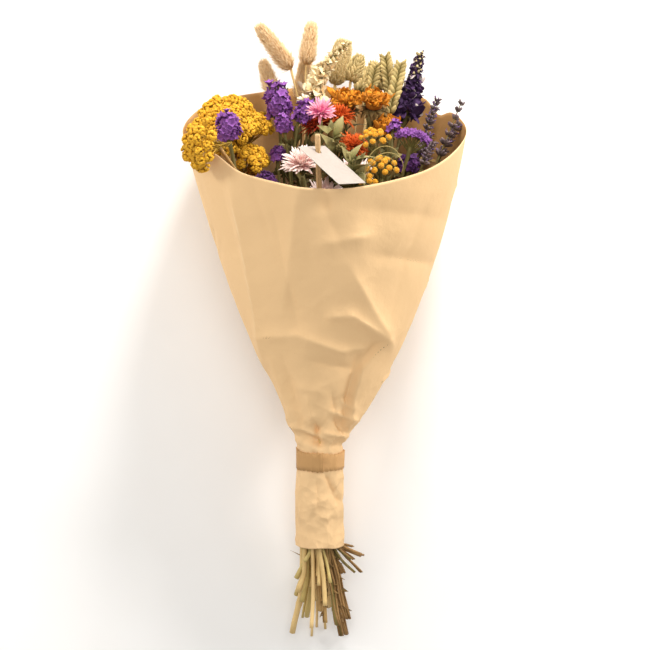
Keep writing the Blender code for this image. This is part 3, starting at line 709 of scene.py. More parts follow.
@dataclass
class Plant:
    """One plant: its stem, and a head that each kind grows in its own way."""

    name: str
    slot: str
    stalk: Dry = Dry.GREEN
    ridges: float = 0.06
    thickness: float = 0.8
    leaves: int = 0
    leaf_length: float = 15 * MM
    scraps: int = 0
    foliage: Dry = Dry.LEAF_DEEP
    spread: float = 1.0
    seed: int = 0
    tendrils: int = 0
    bud: tuple[float, float, float] | None = None
    bud_size: float = 5 * MM
    bud_finish: Dry = Dry.BRACT
    parts: list[tuple[Surface, Dry]] = field(default_factory=list)
    stem: Stem = field(init=False)
    head: Head = field(init=False)
    foot: Dry = field(init=False)
    rng: np.random.Generator = field(init=False)

    def __post_init__(self) -> None:
        """Reads the plant's line and starts its own run of random numbers."""
        self.stem = Stem(self.name)
        self.head = self.stem.head()
        self.head.radius *= self.spread
        self.rng = np.random.default_rng(self.seed)

    def add(self, surface: Surface, finish: Dry) -> None:
        """Adds a surface with its finish."""
        self.parts.append((surface, finish))

    def tones(self, count: int) -> Array:
        """Random tones from 0 to 1."""
        return self.rng.random(count)

    def jitter(self, count: int, size: float) -> Array:
        """Random vectors of about this size."""
        return self.rng.normal(0, size, (count, 3))

    def varied(self, count: int, low: float, high: float) -> Array:
        """Random factors between two values, as a column."""
        return self.rng.uniform(low, high, (count, 1))

    def scatter(
        self, template: Surface, finish: Dry, roots: Array, lean: Array, facing: Array,
        size: Array | float, bends: Array | float = 0.0,
    ) -> None:
        """Adds copies of a template, each with a random tone.

        Args:
            template: the shape that is copied.
            finish: its finish.
            roots: where the copies start, (N, 3).
            lean: the directions that they grow in, (N, 3).
            facing: where their facing sides turn to, (3,) or (N, 3).
            size: their size, one number, (N, 1) or (N, 3).
            bends: how much they bend, one over metres.
        """
        count = len(roots)
        frames = frames_along(lean, facing)
        scales = np.broadcast_to(size, (count, 3))
        self.add(template.scattered(roots, frames, scales, self.tones(count), bends), finish)

    def add_core(self, profile: Surface, finish: Dry, head: Head, size: Sequence[float], tone: float) -> None:
        """Adds the one solid that stands on a head's base."""
        place = (head.base[None], head.frame[None])
        self.add(profile.scattered(*place, np.array([size]), np.array([tone])), finish)

    def add_spine(self, low: float, high: float, wide: tuple[float, float], finish: Dry) -> None:
        """Adds the head's own stalk between two shares of its length, its radius in millimetres."""
        path = self.head.on_axis(np.linspace(low * self.head.length, high * self.head.length, 8))
        self.add(tubes(path[None], np.linspace(*wide, 8) * MM, 6), finish)

    def heaped(self, frames: Array, each: int, cover: float) -> tuple[Array, Array]:
        """Florets heaped on half balls.

        Args:
            frames: the half balls' frames, (N, 3, 3).
            each: florets on one half ball.
            cover: how much of the half ball they cover, to 1.

        Returns:
            The number of each floret's half ball, and the direction in which the floret stands on it.
        """
        rank = np.repeat(np.arange(len(frames)), each)
        share, spin = spiral(each)
        polar = np.tile(np.arccos(1 - cover * share), len(frames))
        around = np.tile(spin, len(frames)) + rank
        return rank, np.einsum("nj,njk->nk", on_half_ball(polar, around), frames[rank])

    def cut_finish(self) -> Dry:
        """The finish of the cut stretch, which goes with its side of the bundle: straw on the left, tan
        and pale green in the middle, dark and weathered on the right."""
        low, high = (np.array(corner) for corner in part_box("stem_tie"))
        across = (self.stem.centres[0, 0] - (low[0] + high[0]) / 2) / MM
        if across > 13:
            return Dry.DARK if self.rng.random() < 0.6 else Dry.BARK
        if across < -1:
            return Dry.STRAW if self.rng.random() < 0.6 else Dry.PALE_GREEN
        return (Dry.TAN, Dry.PALE_GREEN, Dry.STRAW)[int(self.rng.integers(3))]

    def grow_stem(self) -> None:
        """The stalk: a ridged tube along the stem's line that wavers slightly where it is free, in two
        lengths that meet inside the wrap, cut off flat at its foot."""
        count = 96
        path, radii = self.stem.line(0, 1, count)
        share = np.linspace(0, 1, count)
        self.foot = foot = self.cut_finish()
        free = np.clip(np.abs(share - 0.34) / 0.12 - 0.4, 0, 1) * np.clip((1 - share) / 0.1, 0, 1)
        phase = self.rng.random((2, 3)) * 2 * math.pi
        swing = (1.5 if foot in (Dry.DARK, Dry.BARK) else 0.35) * MM * free[:, None]
        waver = np.sin(17 * share[:, None] + phase[0]) + 0.6 * np.sin(47 * share[:, None] + phase[1])
        path = path + swing * waver
        path[0] += (path[0] - path[1]) * self.rng.uniform(0, 1.2)
        knots = 1 + 0.22 * np.exp(-((np.modf(share * 6 + self.rng.random())[0] - 0.5) / 0.03) ** 2)
        radii = radii * np.where(share < 0.4, 1.12, self.thickness) * knots
        path[:, 2] = np.maximum(path[:, 2], radii)
        rough = foot in WEATHERED
        lower, upper = slice(0, 42), slice(40, count)
        cut_ridges = 0.22 if rough else 0.08
        for part, ridges, finish in ((lower, cut_ridges, foot), (upper, self.ridges, self.stalk)):
            self.add(tubes(path[None, part], radii[part], 8, self.rng.random(), ridges), finish)
        if rough:
            self.grow_strands(path[lower], radii[lower], foot)

    def grow_strands(self, path: Array, radii: Array, finish: Dry) -> None:
        """Loose strands of bark that wind round the cut stretch."""
        count = 4
        share = np.linspace(0, 1, len(path))
        turn = self.varied(count, 3, 9) * share + self.rng.random((count, 1)) * 6
        ring = np.stack([np.cos(turn), 0 * turn, np.sin(turn)], axis=-1)
        paths = path[None] + ring * (radii * self.varied(count, 0.85, 1.5))[..., None]
        wide = 0.42 * radii * (1 + 0.3 * np.sin(29 * share + turn))
        paths[..., 2] = np.maximum(paths[..., 2], wide)
        self.add(tubes(paths, wide, 5, self.tones(count)), Dry.BARK if finish is Dry.DARK else finish)

    def grow_leaves(self) -> None:
        """Small leaves up the stem below the head, and withered scraps on a weathered cut stretch."""
        if self.leaves:
            path, _ = self.stem.line(0.66, 0.97, self.leaves)
            self.grow_leaves_on(path, 1, self.leaf_length, self.foliage, 1.0)
        if not self.scraps or self.foot not in WEATHERED:
            return
        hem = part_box("stem_tie")[0][1] - 96 * MM
        scraps = ((0.02, 9 * MM, Dry.LEAF_BROWN, 1.3), (0.03, 11 * MM, Dry.BARK, 0.7))
        for low, length, finish, broad in scraps:
            path, _ = self.stem.line(low, 0.26, 3 * self.scraps)
            path = path[path[:, 1] < hem]
            if len(path) > 1:
                self.grow_leaves_on(path, -1, length, finish, broad)

    def grow_leaves_on(self, path: Array, way: int, length: float, finish: Dry, broad: float) -> None:
        """Leaves at every point of a path.

        Args:
            path: where they grow, (N, 3).
            way: 1 where they point up the stem, -1 where they hang towards its foot.
            length: their usual length.
            finish: their finish.
            broad: their width as a share of the usual one.
        """
        count = len(path)
        _, angle = spiral(count, self.rng.random() * 6)
        along = unit(np.gradient(path, axis=0)) * way
        across = unit(np.cross(along, UP))
        out = np.cos(angle)[:, None] * across + np.sin(angle)[:, None] * np.cross(across, along)
        lean = unit(along * self.varied(count, 0.6, 1.9) + out + self.jitter(count, 0.12))
        size = length * self.varied(count, 0.55, 1.25)
        template = petal([0.03, 0.12, 0.2, 0.22, 0.18, 0.1, 0.012], 0.012, 0.35, 0.0, 6)
        scales = size * np.array([[broad, 1.0, 1.0]]) * self.rng.uniform(0.7, 1.2, (count, 3))
        bends = self.rng.normal(0, 0.6, count) / size[:, 0]
        self.scatter(template, finish, path, lean, along - 0.5 * out, scales, bends)

    def grow_tendrils(self) -> None:
        """Thread-thin dry grass that rises beside the head and hooks over in a loop."""
        share = np.linspace(0, 1, 40)[None, :, None]
        count = self.tendrils
        length = self.rng.uniform(66, 84, (count, 1, 1)) * MM
        side = unit(np.array([1.0, 0.1, 0.35]) + self.jitter(count, 0.2))[:, None]
        rise = unit(np.array([-0.1, 1.0, 0.3]) + self.jitter(count, 0.08))[:, None]
        bend = self.rng.uniform(2.9, 3.6, (count, 1, 1)) * share**1.9
        steps = (np.cos(bend) * rise + np.sin(bend) * side) * length / share.size
        start = self.head.base + np.array([-15, -16, 14]) * MM + self.jitter(count, 3 * MM)
        paths = start[:, None] + np.cumsum(steps, axis=1)
        radii = 0.42 * MM * np.linspace(1.2, 0.5, share.size)
        self.add(tubes(paths, radii, 5, self.tones(count)), Dry.PALE_GREEN)

    def grow_bud(self) -> None:
        """A closed bud of overlapping scales on a short curved stalk beside the head."""
        middle = self.head.base + np.array(self.bud) * MM
        axis = unit(middle - self.head.base + np.array([0, 6, 6]) * MM)[None]
        self.branches(middle[None] - axis * self.bud_size, 12 * MM, 0.6 * MM, Dry.TAN)
        base = middle - axis[0] * 0.8 * self.bud_size
        bud = Head(base, frames_along(axis, UP)[0], 1.7 * self.bud_size, self.bud_size)
        t, turn = spiral(46)
        swell = 0.55 * bud.radius * np.sin(math.pi * (0.12 + 0.7 * t))
        roots = bud.around(swell, turn, bud.length * 0.72 * t)
        lean = bud.outward(turn, np.radians(52 + 26 * t))
        scale = petal([0.16, 0.34, 0.36, 0.22, 0.02], 0.03, 0.35)
        self.scatter(scale, self.bud_finish, roots, lean, bud.frame[2], 0.8 * self.bud_size, -60.0)
        core = revolved([0, 0.25, 0.6, 0.85, 1.0], [0.2, 0.56, 0.6, 0.4, 0.1], 12)
        self.add_core(core, self.bud_finish, bud, (bud.radius, bud.radius, bud.length * 0.9), 0.6)

    def grow_head(self) -> None:
        """Each kind has its own head."""
        raise NotImplementedError

    def branches(self, ends: Array, low: float, radius: float, finish: Dry) -> None:
        """Thin curved stalks from the stem, from low below the head's base, to the given ends."""
        count = len(ends)
        start = self.head.on_axis(-low * self.rng.random(count))
        sag = 0.1 * np.linalg.norm(ends - start, axis=1)
        middle = 0.45 * start + 0.55 * ends - self.head.frame[2] * sag[:, None]
        t = np.linspace(0, 1, 6)[:, None]
        paths = (1 - t) ** 2 * start[:, None] + 2 * t * (1 - t) * middle[:, None] + t**2 * ends[:, None]
        self.add(tubes(paths, radius * np.linspace(1.25, 0.8, 6), 5, self.tones(count)), finish)

    def build(self, wrap: "PaperWrap") -> bpy.types.Object:
        """Grows the plant and makes its one piece.

        Args:
            wrap: the paper that the leaves stay inside.

        Returns:
            The piece, which stands for the plant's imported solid.
        """
        self.grow_stem()
        self.grow_leaves()
        self.grow_head()
        if self.tendrils:
            self.grow_tendrils()
        if self.bud:
            self.grow_bud()
        for surface, finish in self.parts:
            if finish in (Dry.LEAF, Dry.LEAF_DEEP, Dry.LEAF_BROWN):
                surface.points = wrap.kept_inside(surface.points)
        piece = make_piece(f"{self.name}_plant", self.parts)
        settle(piece, self.slot, self.name)
        return piece


def make_piece(name: str, parts: Sequence[tuple[Surface, Any]]) -> bpy.types.Object:
    """A mesh object from surfaces and their finishes, smooth, with the growth attribute on its points.

    Args:
        name: the piece's name.
        parts: surfaces, each with an Enum member or a finish.

    Returns:
        The object, linked to the scene.
    """
    whole = Surface.joined([surface for surface, _ in parts])
    finishes = []
    for _, finish in parts:
        if finish not in finishes:
            finishes.append(finish)
    slots = [finishes.index(finish) for _, finish in parts]
    quad_slots = np.concatenate([np.full(len(s.quads), k) for (s, _), k in zip(parts, slots)])
    tri_slots = np.concatenate([np.full(len(s.tris), k) for (s, _), k in zip(parts, slots)])
    mesh = bpy.data.meshes.new(name)
    mesh.vertices.add(len(whole.points))
    mesh.vertices.foreach_set("co", whole.points.astype(np.float32).ravel())
    mesh.loops.add(whole.quads.size + whole.tris.size)
    corners = np.concatenate([whole.quads.ravel(), whole.tris.ravel()])
    mesh.loops.foreach_set("vertex_index", corners.astype(np.int32))
    mesh.polygons.add(len(whole.quads) + len(whole.tris))
    tri_starts = whole.quads.size + np.arange(len(whole.tris)) * 3
    starts = np.concatenate([np.arange(len(whole.quads)) * 4, tri_starts])
    mesh.polygons.foreach_set("loop_start", starts.astype(np.int32))
    mesh.polygons.foreach_set("material_index", np.concatenate([quad_slots, tri_slots]).astype(np.int32))
    growth = mesh.attributes.new("growth", "FLOAT_VECTOR", "POINT")
    growth.data.foreach_set("vector", whole.growth.astype(np.float32).ravel())
    for finish in finishes:
        mesh.materials.append(getattr(finish, "value", finish).material())
    mesh.update(calc_edges=True)
    mesh.validate()
    mesh.shade_smooth()
    piece = bpy.data.objects.new(name, mesh)
    bpy.context.scene.collection.objects.link(piece)
    return piece


def settle(piece: bpy.types.Object, slot: str, *nodes: str) -> None:
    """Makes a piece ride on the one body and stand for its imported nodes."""
    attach(piece, "root")
    if nodes:
        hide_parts(*nodes)
    triangles = 2 * len(piece.data.polygons)
    log.info("%s: %d vertices, at most %d triangles", piece.name, len(piece.data.vertices), triangles)


@dataclass
class BunnyTail(Plant):
    """A bunny tail: an egg-shaped core under thousands of fine hairs that lie upwards and outwards."""

    hair: Dry = Dry.BUNNY
    hairs: int = 2000
    hair_length: float = 8.2 * MM
    hair_width: float = 0.36 * MM

    def grow_head(self) -> None:
        """The core, and hairs rooted on it along a growth spiral."""
        head = self.head
        share = np.linspace(0, 1, 16)[:, None]
        core = 0.74 * head.radius
        angle = circle(14)
        grid = head.around(core * self.bulge(share), angle, share * head.length * 0.96)
        self.add(solids(grid, 0.4), self.hair)
        t, turn = spiral(self.hairs)
        roots = head.around(0.94 * core * self.bulge(t), turn, t * head.length * 0.96)
        lift = np.radians(42 + 36 * t) + self.rng.normal(0, 0.27, self.hairs)
        lean = unit(head.outward(turn, lift) + self.jitter(self.hairs, 0.1))
        length = self.hair_length * self.varied(self.hairs, 0.6, 1.15) * (1 - 0.3 * t[:, None])
        steps = np.array([0.0, 0.5, 0.97])
        paths = roots[:, None] + length[:, None] * steps[None, :, None] * lean[:, None]
        paths += 0.18 * length[:, None] * (steps**2)[None, :, None] * head.frame[2]
        radii = self.hair_width * np.array([1.0, 0.8, 0.1])
        self.add(tubes(paths, radii, 3, self.tones(self.hairs)), self.hair)

    @staticmethod
    def bulge(share: Array) -> Array:
        """The tail's outline from base to tip: a quick swelling, a long even stretch, a blunt tip."""
        return (1 - np.abs(2 * np.clip(share, 0.012, 0.985) - 1) ** 4) ** 0.4


@dataclass
class CanaryGrass(Plant):
    """A canary grass head: keeled pointed scales laid over an egg shape on a growth spiral."""

    scales: int = 130
    scale_length: float = 7.0 * MM

    def grow_head(self) -> None:
        """The core and its overlapping scales, which open a little towards their tips."""
        head = self.head
        t, turn = spiral(self.scales)
        radius = 0.74 * head.radius * np.sin(math.pi * (0.1 + 0.82 * t) ** 0.85) ** 0.6
        roots = head.around(radius, turn, (t - 0.04) * head.length * 0.88)
        lean = unit(head.outward(turn, np.radians(58 + 24 * t)) + self.jitter(self.scales, 0.07))
        size = self.scale_length * self.varied(self.scales, 0.85, 1.15) * (1.05 - 0.3 * t[:, None])
        scale = petal([0.08, 0.25, 0.3, 0.25, 0.13, 0.01], 0.08, -0.4, 0.0, 6)
        self.scatter(scale, Dry.GLUME, roots, lean, head.outward(turn, 0.0), size, -12.0)
        outline = 0.6 * np.sin(math.pi * np.linspace(0.1, 0.95, 7)) ** 0.6
        core = revolved(np.linspace(0, 0.86, 7), outline, 10)
        self.add_core(core, Dry.GLUME, head, (head.radius, head.radius, head.length), 0.7)


@dataclass
class Wheat(Plant):
    """A wheat ear: spikelets in two ranks, each a fan of plump pointed florets with short awns."""

    pairs: int = 11

    def grow_head(self) -> None:
        """The two ranks of spikelets, their florets and awns."""
        head = self.head
        fans = np.array([-1.0, -0.35, 0.35, 1.0])
        rank = np.repeat(np.arange(2 * self.pairs), fans.size)
        fan = np.tile(fans, 2 * self.pairs)
        side = np.where(rank % 2 == 0, 1.0, -1.0)
        t = rank / (2 * self.pairs)
        shrink = 0.72 + 0.5 * np.sin(math.pi * np.clip(0.12 + 0.8 * t, 0, 1)) - 0.1
        seats = np.stack([side * 0.9 * MM, fan * 0.9 * MM, (t - 0.02) * head.length * 0.9], axis=-1)
        roots = head.world(seats)
        lean = np.stack([side * 0.55, fan * 0.5, np.ones(len(rank))], axis=-1) + self.jitter(len(rank), 0.06)
        lean = unit(head.turned(lean))
        outward = head.turned(np.stack([side * 0.9, fan, np.zeros(len(rank))], axis=-1))
        size = 10.5 * MM * shrink[:, None]
        floret = petal([0.08, 0.22, 0.29, 0.27, 0.16, 0.015], 0.17, -0.2, 0.0, 6)
        self.scatter(floret, Dry.WHEAT, roots, lean, outward, size, -9.0)
        chosen = (np.abs(fan) < 0.5) & (self.rng.random(len(rank)) < 0.5)
        self.grow_awns(roots[chosen] + lean[chosen] * size[chosen] * 0.93, lean[chosen], t[chosen, None])
        self.add_spine(0, 0.92, (1.0, 1.0), Dry.WHEAT)

    def grow_awns(self, tips: Array, lean: Array, t: Array) -> None:
        """Thin awns from the florets' tips, longer towards the ear's own tip."""
        reach = self.varied(len(tips), 2, 5) * MM * (0.7 + 0.6 * t)
        steps = np.array([0.0, 0.35, 0.7, 1.0])
        up = unit(lean + 0.5 * self.head.frame[2])
        paths = tips[:, None] + reach[:, None] * steps[None, :, None] * up[:, None]
        radii = np.array([0.3, 0.22, 0.15, 0.05]) * MM
        self.add(tubes(paths, radii, 4, self.tones(len(tips))), Dry.AWN)


@dataclass
class Larkspur(Plant):
    """A larkspur spike: florets of crumpled petals on a growth spiral, smaller towards the tip, and buds."""

    petals: Dry = Dry.VIOLET
    edging: Dry = Dry.VIOLET_EDGE
    florets: int = 40
    floret: float = 8.0 * MM
    each: int = 6
    bow: float = 0.0

    def bowed(self, points: Array, t: Array) -> Array:
        """Points of the spike moved across by the bow, which is widest half way up."""
        return points + self.bow * np.sin(math.pi * t)[:, None] * np.array([1.0, 0, 0])

    def grow_head(self) -> None:
        """Florets of six petals each, some of them pale, stalks, and buds at the top."""
        head = self.head
        t, turn = spiral(self.florets)
        middles = self.bowed(head.around(head.radius * 0.5 * (1.1 - 0.75 * t), turn, t * head.length), t)
        self.branches_to(middles, t)
        rank = np.repeat(np.arange(self.florets), self.each)
        count = len(rank)
        around = np.tile(np.arange(self.each) * 2 * math.pi / self.each, self.florets)
        around = around + self.rng.normal(0, 0.3, count)
        face = head.outward(turn, np.radians(24 + 40 * t))
        frames = frames_along(face, head.frame[2])[rank]
        lean = np.einsum("nj,njk->nk", on_half_ball(self.rng.uniform(0.35, 1.15, count), around), frames)
        size = self.floret * (1.1 - 0.72 * t[rank]) * self.rng.uniform(0.75, 1.2, count)
        template = petal([0.08, 0.28, 0.42, 0.46, 0.36, 0.14], 0.02, 0.4, 0.0, 6)
        scales = size[:, None] * self.rng.uniform(0.75, 1.15, (count, 3))
        bends = self.rng.normal(-0.2, 0.5, count) / size
        pale = self.rng.random(count) < 0.1
        for chosen, finish in ((~pale, self.petals), (pale, self.edging)):
            place = (middles[rank][chosen], lean[chosen], face[rank][chosen])
            self.scatter(template, finish, *place, scales[chosen], bends[chosen])

    def branches_to(self, middles: Array, t: Array) -> None:
        """The spike's own stalk, a short stalk to every floret, and a bud beside some."""
        head = self.head
        up = np.linspace(0, 0.99, 8)
        spine = self.bowed(head.on_axis(up * head.length), up)
        self.add(tubes(spine[None], np.linspace(1.2, 0.5, 8) * MM, 6), self.stalk)
        roots = self.bowed(head.on_axis(np.maximum(t * head.length - 3 * MM, 0)), t)
        steps = np.linspace(0, 1, 3)
        paths = roots[:, None] + steps[None, :, None] * (middles - roots)[:, None]
        self.add(tubes(paths, 0.45 * MM, 4, self.tones(len(t))), self.stalk)
        late = t > 0.6
        bud = revolved([0, 0.25, 0.6, 0.9, 1.0], [0.12, 0.34, 0.38, 0.2, 0.04], 6)
        lean = unit(middles[late] - roots[late] + head.frame[2] * 2 * MM)
        self.scatter(bud, Dry.BUD, middles[late], lean, head.frame[2] + 0.1, 4.2 * MM)


@dataclass
class Lavender(Plant):
    """A lavender spike: whorls of narrow calyces with gaps between them, and a few open petals."""

    whorls: int = 7
    per_whorl: int = 9

    def grow_head(self) -> None:
        """Whorls up the spike, each a ring of tubular calyces."""
        head = self.head
        count = self.whorls * self.per_whorl
        rank = np.repeat(np.arange(self.whorls), self.per_whorl)
        t = (rank / (self.whorls - 1)) ** 0.85
        turn = np.arange(count) * 2 * math.pi / self.per_whorl + rank * 0.5 + self.rng.normal(0, 0.12, count)
        roots = head.around(0.9 * MM, turn, t * head.length * 0.92 + self.rng.normal(0, 0.6, count) * MM)
        lean = head.outward(turn, np.radians(self.rng.uniform(32, 62, count)))
        calyx = revolved([0, 0.15, 0.5, 0.85, 1.0, 0.8], [0.1, 0.19, 0.23, 0.2, 0.17, 0.08], 6)
        size = 5.4 * MM * self.varied(count, 0.8, 1.15) * (1.05 - 0.35 * t[:, None])
        self.scatter(calyx, Dry.LAVENDER, roots, lean, head.frame[2], size)
        some = self.rng.random(count) < 0.4
        lip = petal([0.1, 0.32, 0.34, 0.12], 0.05, 0.3, 0.3)
        ends = roots[some] + lean[some] * size[some] * 0.85
        spread = unit(lean[some] + self.jitter(len(ends), 0.5))
        self.scatter(lip, Dry.LAVENDER_PETAL, ends, spread, lean[some] + 0.1, 2.6 * MM)
        self.add_spine(0, 0.95, (0.8, 0.5), self.stalk)


class Spray(Enum):
    """The outline over which a statice spray spreads its calyces."""

    MOUND = "mound"
    COMB = "comb"


@dataclass
class Statice(Plant):
    """A statice spray: ruffled papery funnels crowded over a mound or a comb, each in a green cup."""

    funnels: int = 64
    funnel: float = 6.6 * MM
    outline: Spray = Spray.MOUND
    colour: Dry = Dry.STATICE

    def on_mound(self) -> tuple[Array, Array]:
        """Places over a lumpy mound on a growth spiral, and the ways out of it."""
        head = self.head
        t, turn = spiral(self.funnels)
        polar = np.arccos(1 - 1.5 * t)
        lumps = 1 + 0.26 * np.sin(3 * turn + 6 * t) + self.rng.normal(0, 0.11, self.funnels)
        height = head.length * (0.42 + 0.52 * np.cos(polar) * lumps)
        middles = head.around(0.84 * head.radius * lumps * np.sin(polar) ** 0.8, turn, height)
        return middles, head.outward(turn, np.clip(math.pi / 2 - polar * 0.85, -0.2, 1.5))

    def on_comb(self) -> tuple[Array, Array]:
        """Places in three lanes along an arch, and the ways out of it."""
        head = self.head
        across = np.linspace(-1, 1, self.funnels)
        lane = (np.arange(self.funnels) % 3 - 1) * 1.9 * MM
        height = head.length * (0.78 - 0.3 * across**2) + self.rng.normal(0, 0.5, self.funnels) * MM
        local = np.stack([across * head.radius * 1.12, lane, height], axis=-1)
        lean = np.stack([across * 0.75, lane / (6 * MM) + 0.35, np.ones(self.funnels)], axis=-1)
        return head.world(local), unit(head.turned(lean))

    def grow_head(self) -> None:
        """Funnels, their cups, and the branches that carry groups of them."""
        self.head.length *= min(self.spread, 1.0)
        middles, lean = self.on_mound() if self.outline is Spray.MOUND else self.on_comb()
        lean = unit(lean + self.jitter(self.funnels, 0.28))
        size = self.funnel * self.varied(self.funnels, 0.65, 1.3)
        widths = [0.1, 0.18, 0.36, 0.62, 0.68, 0.46, 0.1]
        calyx = revolved([0, 0.25, 0.6, 0.9, 1.0, 0.86, 0.45], widths, 15, 0.3, 5)
        facing = self.jitter(self.funnels, 1.0)
        roots = middles - lean * size * 0.75
        self.scatter(calyx, self.colour, roots, lean, facing, size)
        cup = revolved([-0.5, -0.2, 0.15, 0.42], [0.06, 0.17, 0.2, 0.2], 6)
        self.scatter(cup, Dry.STATICE_CUP, roots, lean, facing, size)
        self.branches(roots[::3] - lean[::3] * size[::3] * 0.3, 9 * MM, 0.75 * MM, Dry.GREEN)


@dataclass
class Yarrow(Plant):
    """A yarrow umbel: a shallow dome of small round clusters, drawn together into crowns with gaps
    between them, each cluster a heap of tiny florets, on a spreading tree of stalks."""

    cluster: float = 5.4 * MM
    floret: float = 1.75 * MM
    per_cluster: int = 18
    dome: float = 0.38
    crowns: int = 9
    drawn: float = 0.17
    crown_bulge: float = 55.0

    def clusters(self) -> tuple[Array, Array]:
        """Where the clusters stand over the dome, and the ways out of it."""
        head = self.head
        groups = max(7, int(1.6 * (head.radius / self.cluster) ** 2))
        t, turn = spiral(groups, self.rng.random() * 6)
        wide = head.radius * np.sqrt(t) * self.rng.uniform(0.93, 1.04, groups)
        top = head.length * 0.9 - self.dome * head.radius * t**1.3 + self.rng.normal(0, 0.7, groups) * MM
        flat = wide[:, None] * np.stack([np.cos(turn), np.sin(turn)], axis=-1)
        share, spin = spiral(self.crowns, self.rng.random() * 6)
        seats = 0.8 * head.radius * np.sqrt(share)[:, None] * np.stack([np.cos(spin), np.sin(spin)], axis=-1)
        away = flat[:, None] - seats
        away = away[np.arange(groups), np.argmin(np.linalg.norm(away, axis=-1), axis=1)]
        top = top - self.crown_bulge * (away**2).sum(axis=-1)
        middles = head.world(np.concatenate([flat - self.drawn * away, top[:, None]], axis=1))
        tilt = head.turned(np.c_[away, 0 * top]) / (0.7 * head.radius)
        return middles, unit(head.outward(turn, np.radians(90 - 52 * t)) + tilt)

    def grow_head(self) -> None:
        """The clusters' stalks, their florets and the florets' own stalks."""
        middles, out = self.clusters()
        self.branches(middles - out * self.cluster * 0.5, 16 * MM, 0.55 * MM, Dry.YARROW_CUP)
        rank, lean = self.heaped(frames_along(out, self.head.frame[0] + 0.05), self.per_cluster, 0.95)
        count = len(rank)
        lean = unit(lean + self.jitter(count, 0.12))
        size = self.cluster * self.rng.uniform(0.78, 1.1, len(middles))[rank, None]
        roots = middles[rank] + lean * size * 0.82
        widths = [0.35, 0.8, 0.98, 0.75, 0.45, 0.12]
        bead = revolved([-0.9, -0.35, 0.25, 0.7, 0.85, 0.72], widths, 7, 0.16, 5)
        scale = self.floret * self.varied(count, 0.72, 1.18)
        self.scatter(bead, Dry.YARROW, roots, lean, out[rank] + 0.2, scale)
        stalks = np.stack([middles[rank] - out[rank] * size * 0.35, roots - lean * scale * 0.6], axis=1)
        self.add(tubes(stalks, 0.36 * MM, 4, self.tones(count)), Dry.YARROW_CUP)


@dataclass
class Star(Plant):
    """A papery star-shaped flower: rows of narrow pointed rays, the outer ones flat and the inner ones
    upright, round a tuft."""

    ray: Dry = Dry.PALE
    heart: Dry = Dry.PALE_HEART
    rays: int = 27
    half_width: float = 0.115
    rows: tuple[tuple[float, float], ...] = ((6, 1.08), (20, 1.04), (38, 0.88), (56, 0.62))

    def grow_head(self) -> None:
        """Rows of rays, each with its own lift in degrees and its reach, then the tuft."""
        head = self.head
        seat = head.length * 0.55
        wide = self.half_width
        template = petal([0.05, 0.75 * wide, wide, 0.95 * wide, 0.62 * wide, 0.02], 0.012, 0.3, 0.0, 6)
        for row, (opening, reach) in enumerate(self.rows):
            count = self.rays - 2 * row
            turn = np.arange(count) * 2 * math.pi / count + row * 0.17 + self.rng.normal(0, 0.07, count)
            lean = head.outward(turn, np.radians(opening) + self.rng.normal(0, 0.13, count))
            roots = head.around(1.8 * MM, turn, seat + row * 0.5 * MM)
            size = head.radius * reach * self.varied(count, 0.86, 1.1)
            bends = self.rng.normal(0.1, 0.22, count) / size[:, 0]
            self.scatter(template, self.ray, roots, lean, head.frame[2], size, bends)
        self.grow_tuft(seat)

    def grow_tuft(self, seat: float) -> None:
        """The heart's upright threads and the scaly bracts below."""
        head = self.head
        count = 140
        t, turn = spiral(count)
        roots = head.around(0.3 * head.radius * np.sqrt(t), turn, seat)
        lean = unit(head.outward(turn, np.radians(88 - 38 * np.sqrt(t))) + self.jitter(count, 0.1))
        thread = petal([0.07, 0.09, 0.1, 0.02], 0.05)
        size = head.radius * 0.4 * self.varied(count, 0.7, 1.1)
        self.scatter(thread, self.heart, roots, lean, head.frame[0] + 0.1, size)
        t, turn = spiral(26)
        roots = head.around(0.6 * MM + 1.4 * MM * t, turn, seat * (0.1 + 0.75 * t))
        lean = head.outward(turn, np.radians(66 - 34 * t))
        scale = petal([0.1, 0.24, 0.25, 0.14, 0.02], 0.03, 0.2)
        self.scatter(scale, Dry.BRACT, roots, lean, head.frame[2], 6.2 * MM * (0.8 + 0.4 * t[:, None]))


@dataclass
class Safflower(Plant):
    """A safflower head: a bristling tuft of fine threads out of a scaly green bulb."""

    thread: Dry = Dry.SAFFLOWER
    threads: int = 320

    def grow_head(self) -> None:
        """The bulb's bracts, and threads that spread from its mouth."""
        head = self.head
        mouth = 0.5 * head.length
        t, turn = spiral(self.threads)
        roots = head.around(0.32 * head.radius * np.sqrt(t), turn, mouth)
        lean = unit(head.outward(turn, np.radians(90 - 84 * t**0.8)) + self.jitter(self.threads, 0.17))
        size = head.radius * self.varied(self.threads, 0.75, 1.12)
        thread = petal([0.05, 0.075, 0.085, 0.08, 0.02], 0.02)
        bends = self.rng.normal(-0.25, 0.4, self.threads) / size[:, 0]
        facing = self.jitter(self.threads, 1.0) + head.frame[2]
        self.scatter(thread, self.thread, roots, lean, facing, size, bends)
        bulb = revolved([0, 0.25, 0.6, 0.9, 1.0], [0.16, 0.42, 0.5, 0.36, 0.2], 12)
        self.add_core(bulb, Dry.BRACT, head, (head.radius, head.radius, mouth), 0.6)
        t, turn = spiral(34)
        radius = head.radius * (0.2 + 0.28 * np.sin(math.pi * (0.1 + 0.7 * t)))
        roots = head.around(radius, turn, mouth * (0.02 + 0.9 * t))
        lean = head.outward(turn, np.radians(48 + 20 * t))
        scale = petal([0.12, 0.26, 0.24, 0.12, 0.01], 0.035, 0.15)
        size = 6.5 * MM * (0.85 + 0.3 * t[:, None])
        self.scatter(scale, Dry.BRACT, roots, lean, head.frame[2], size, -20.0)


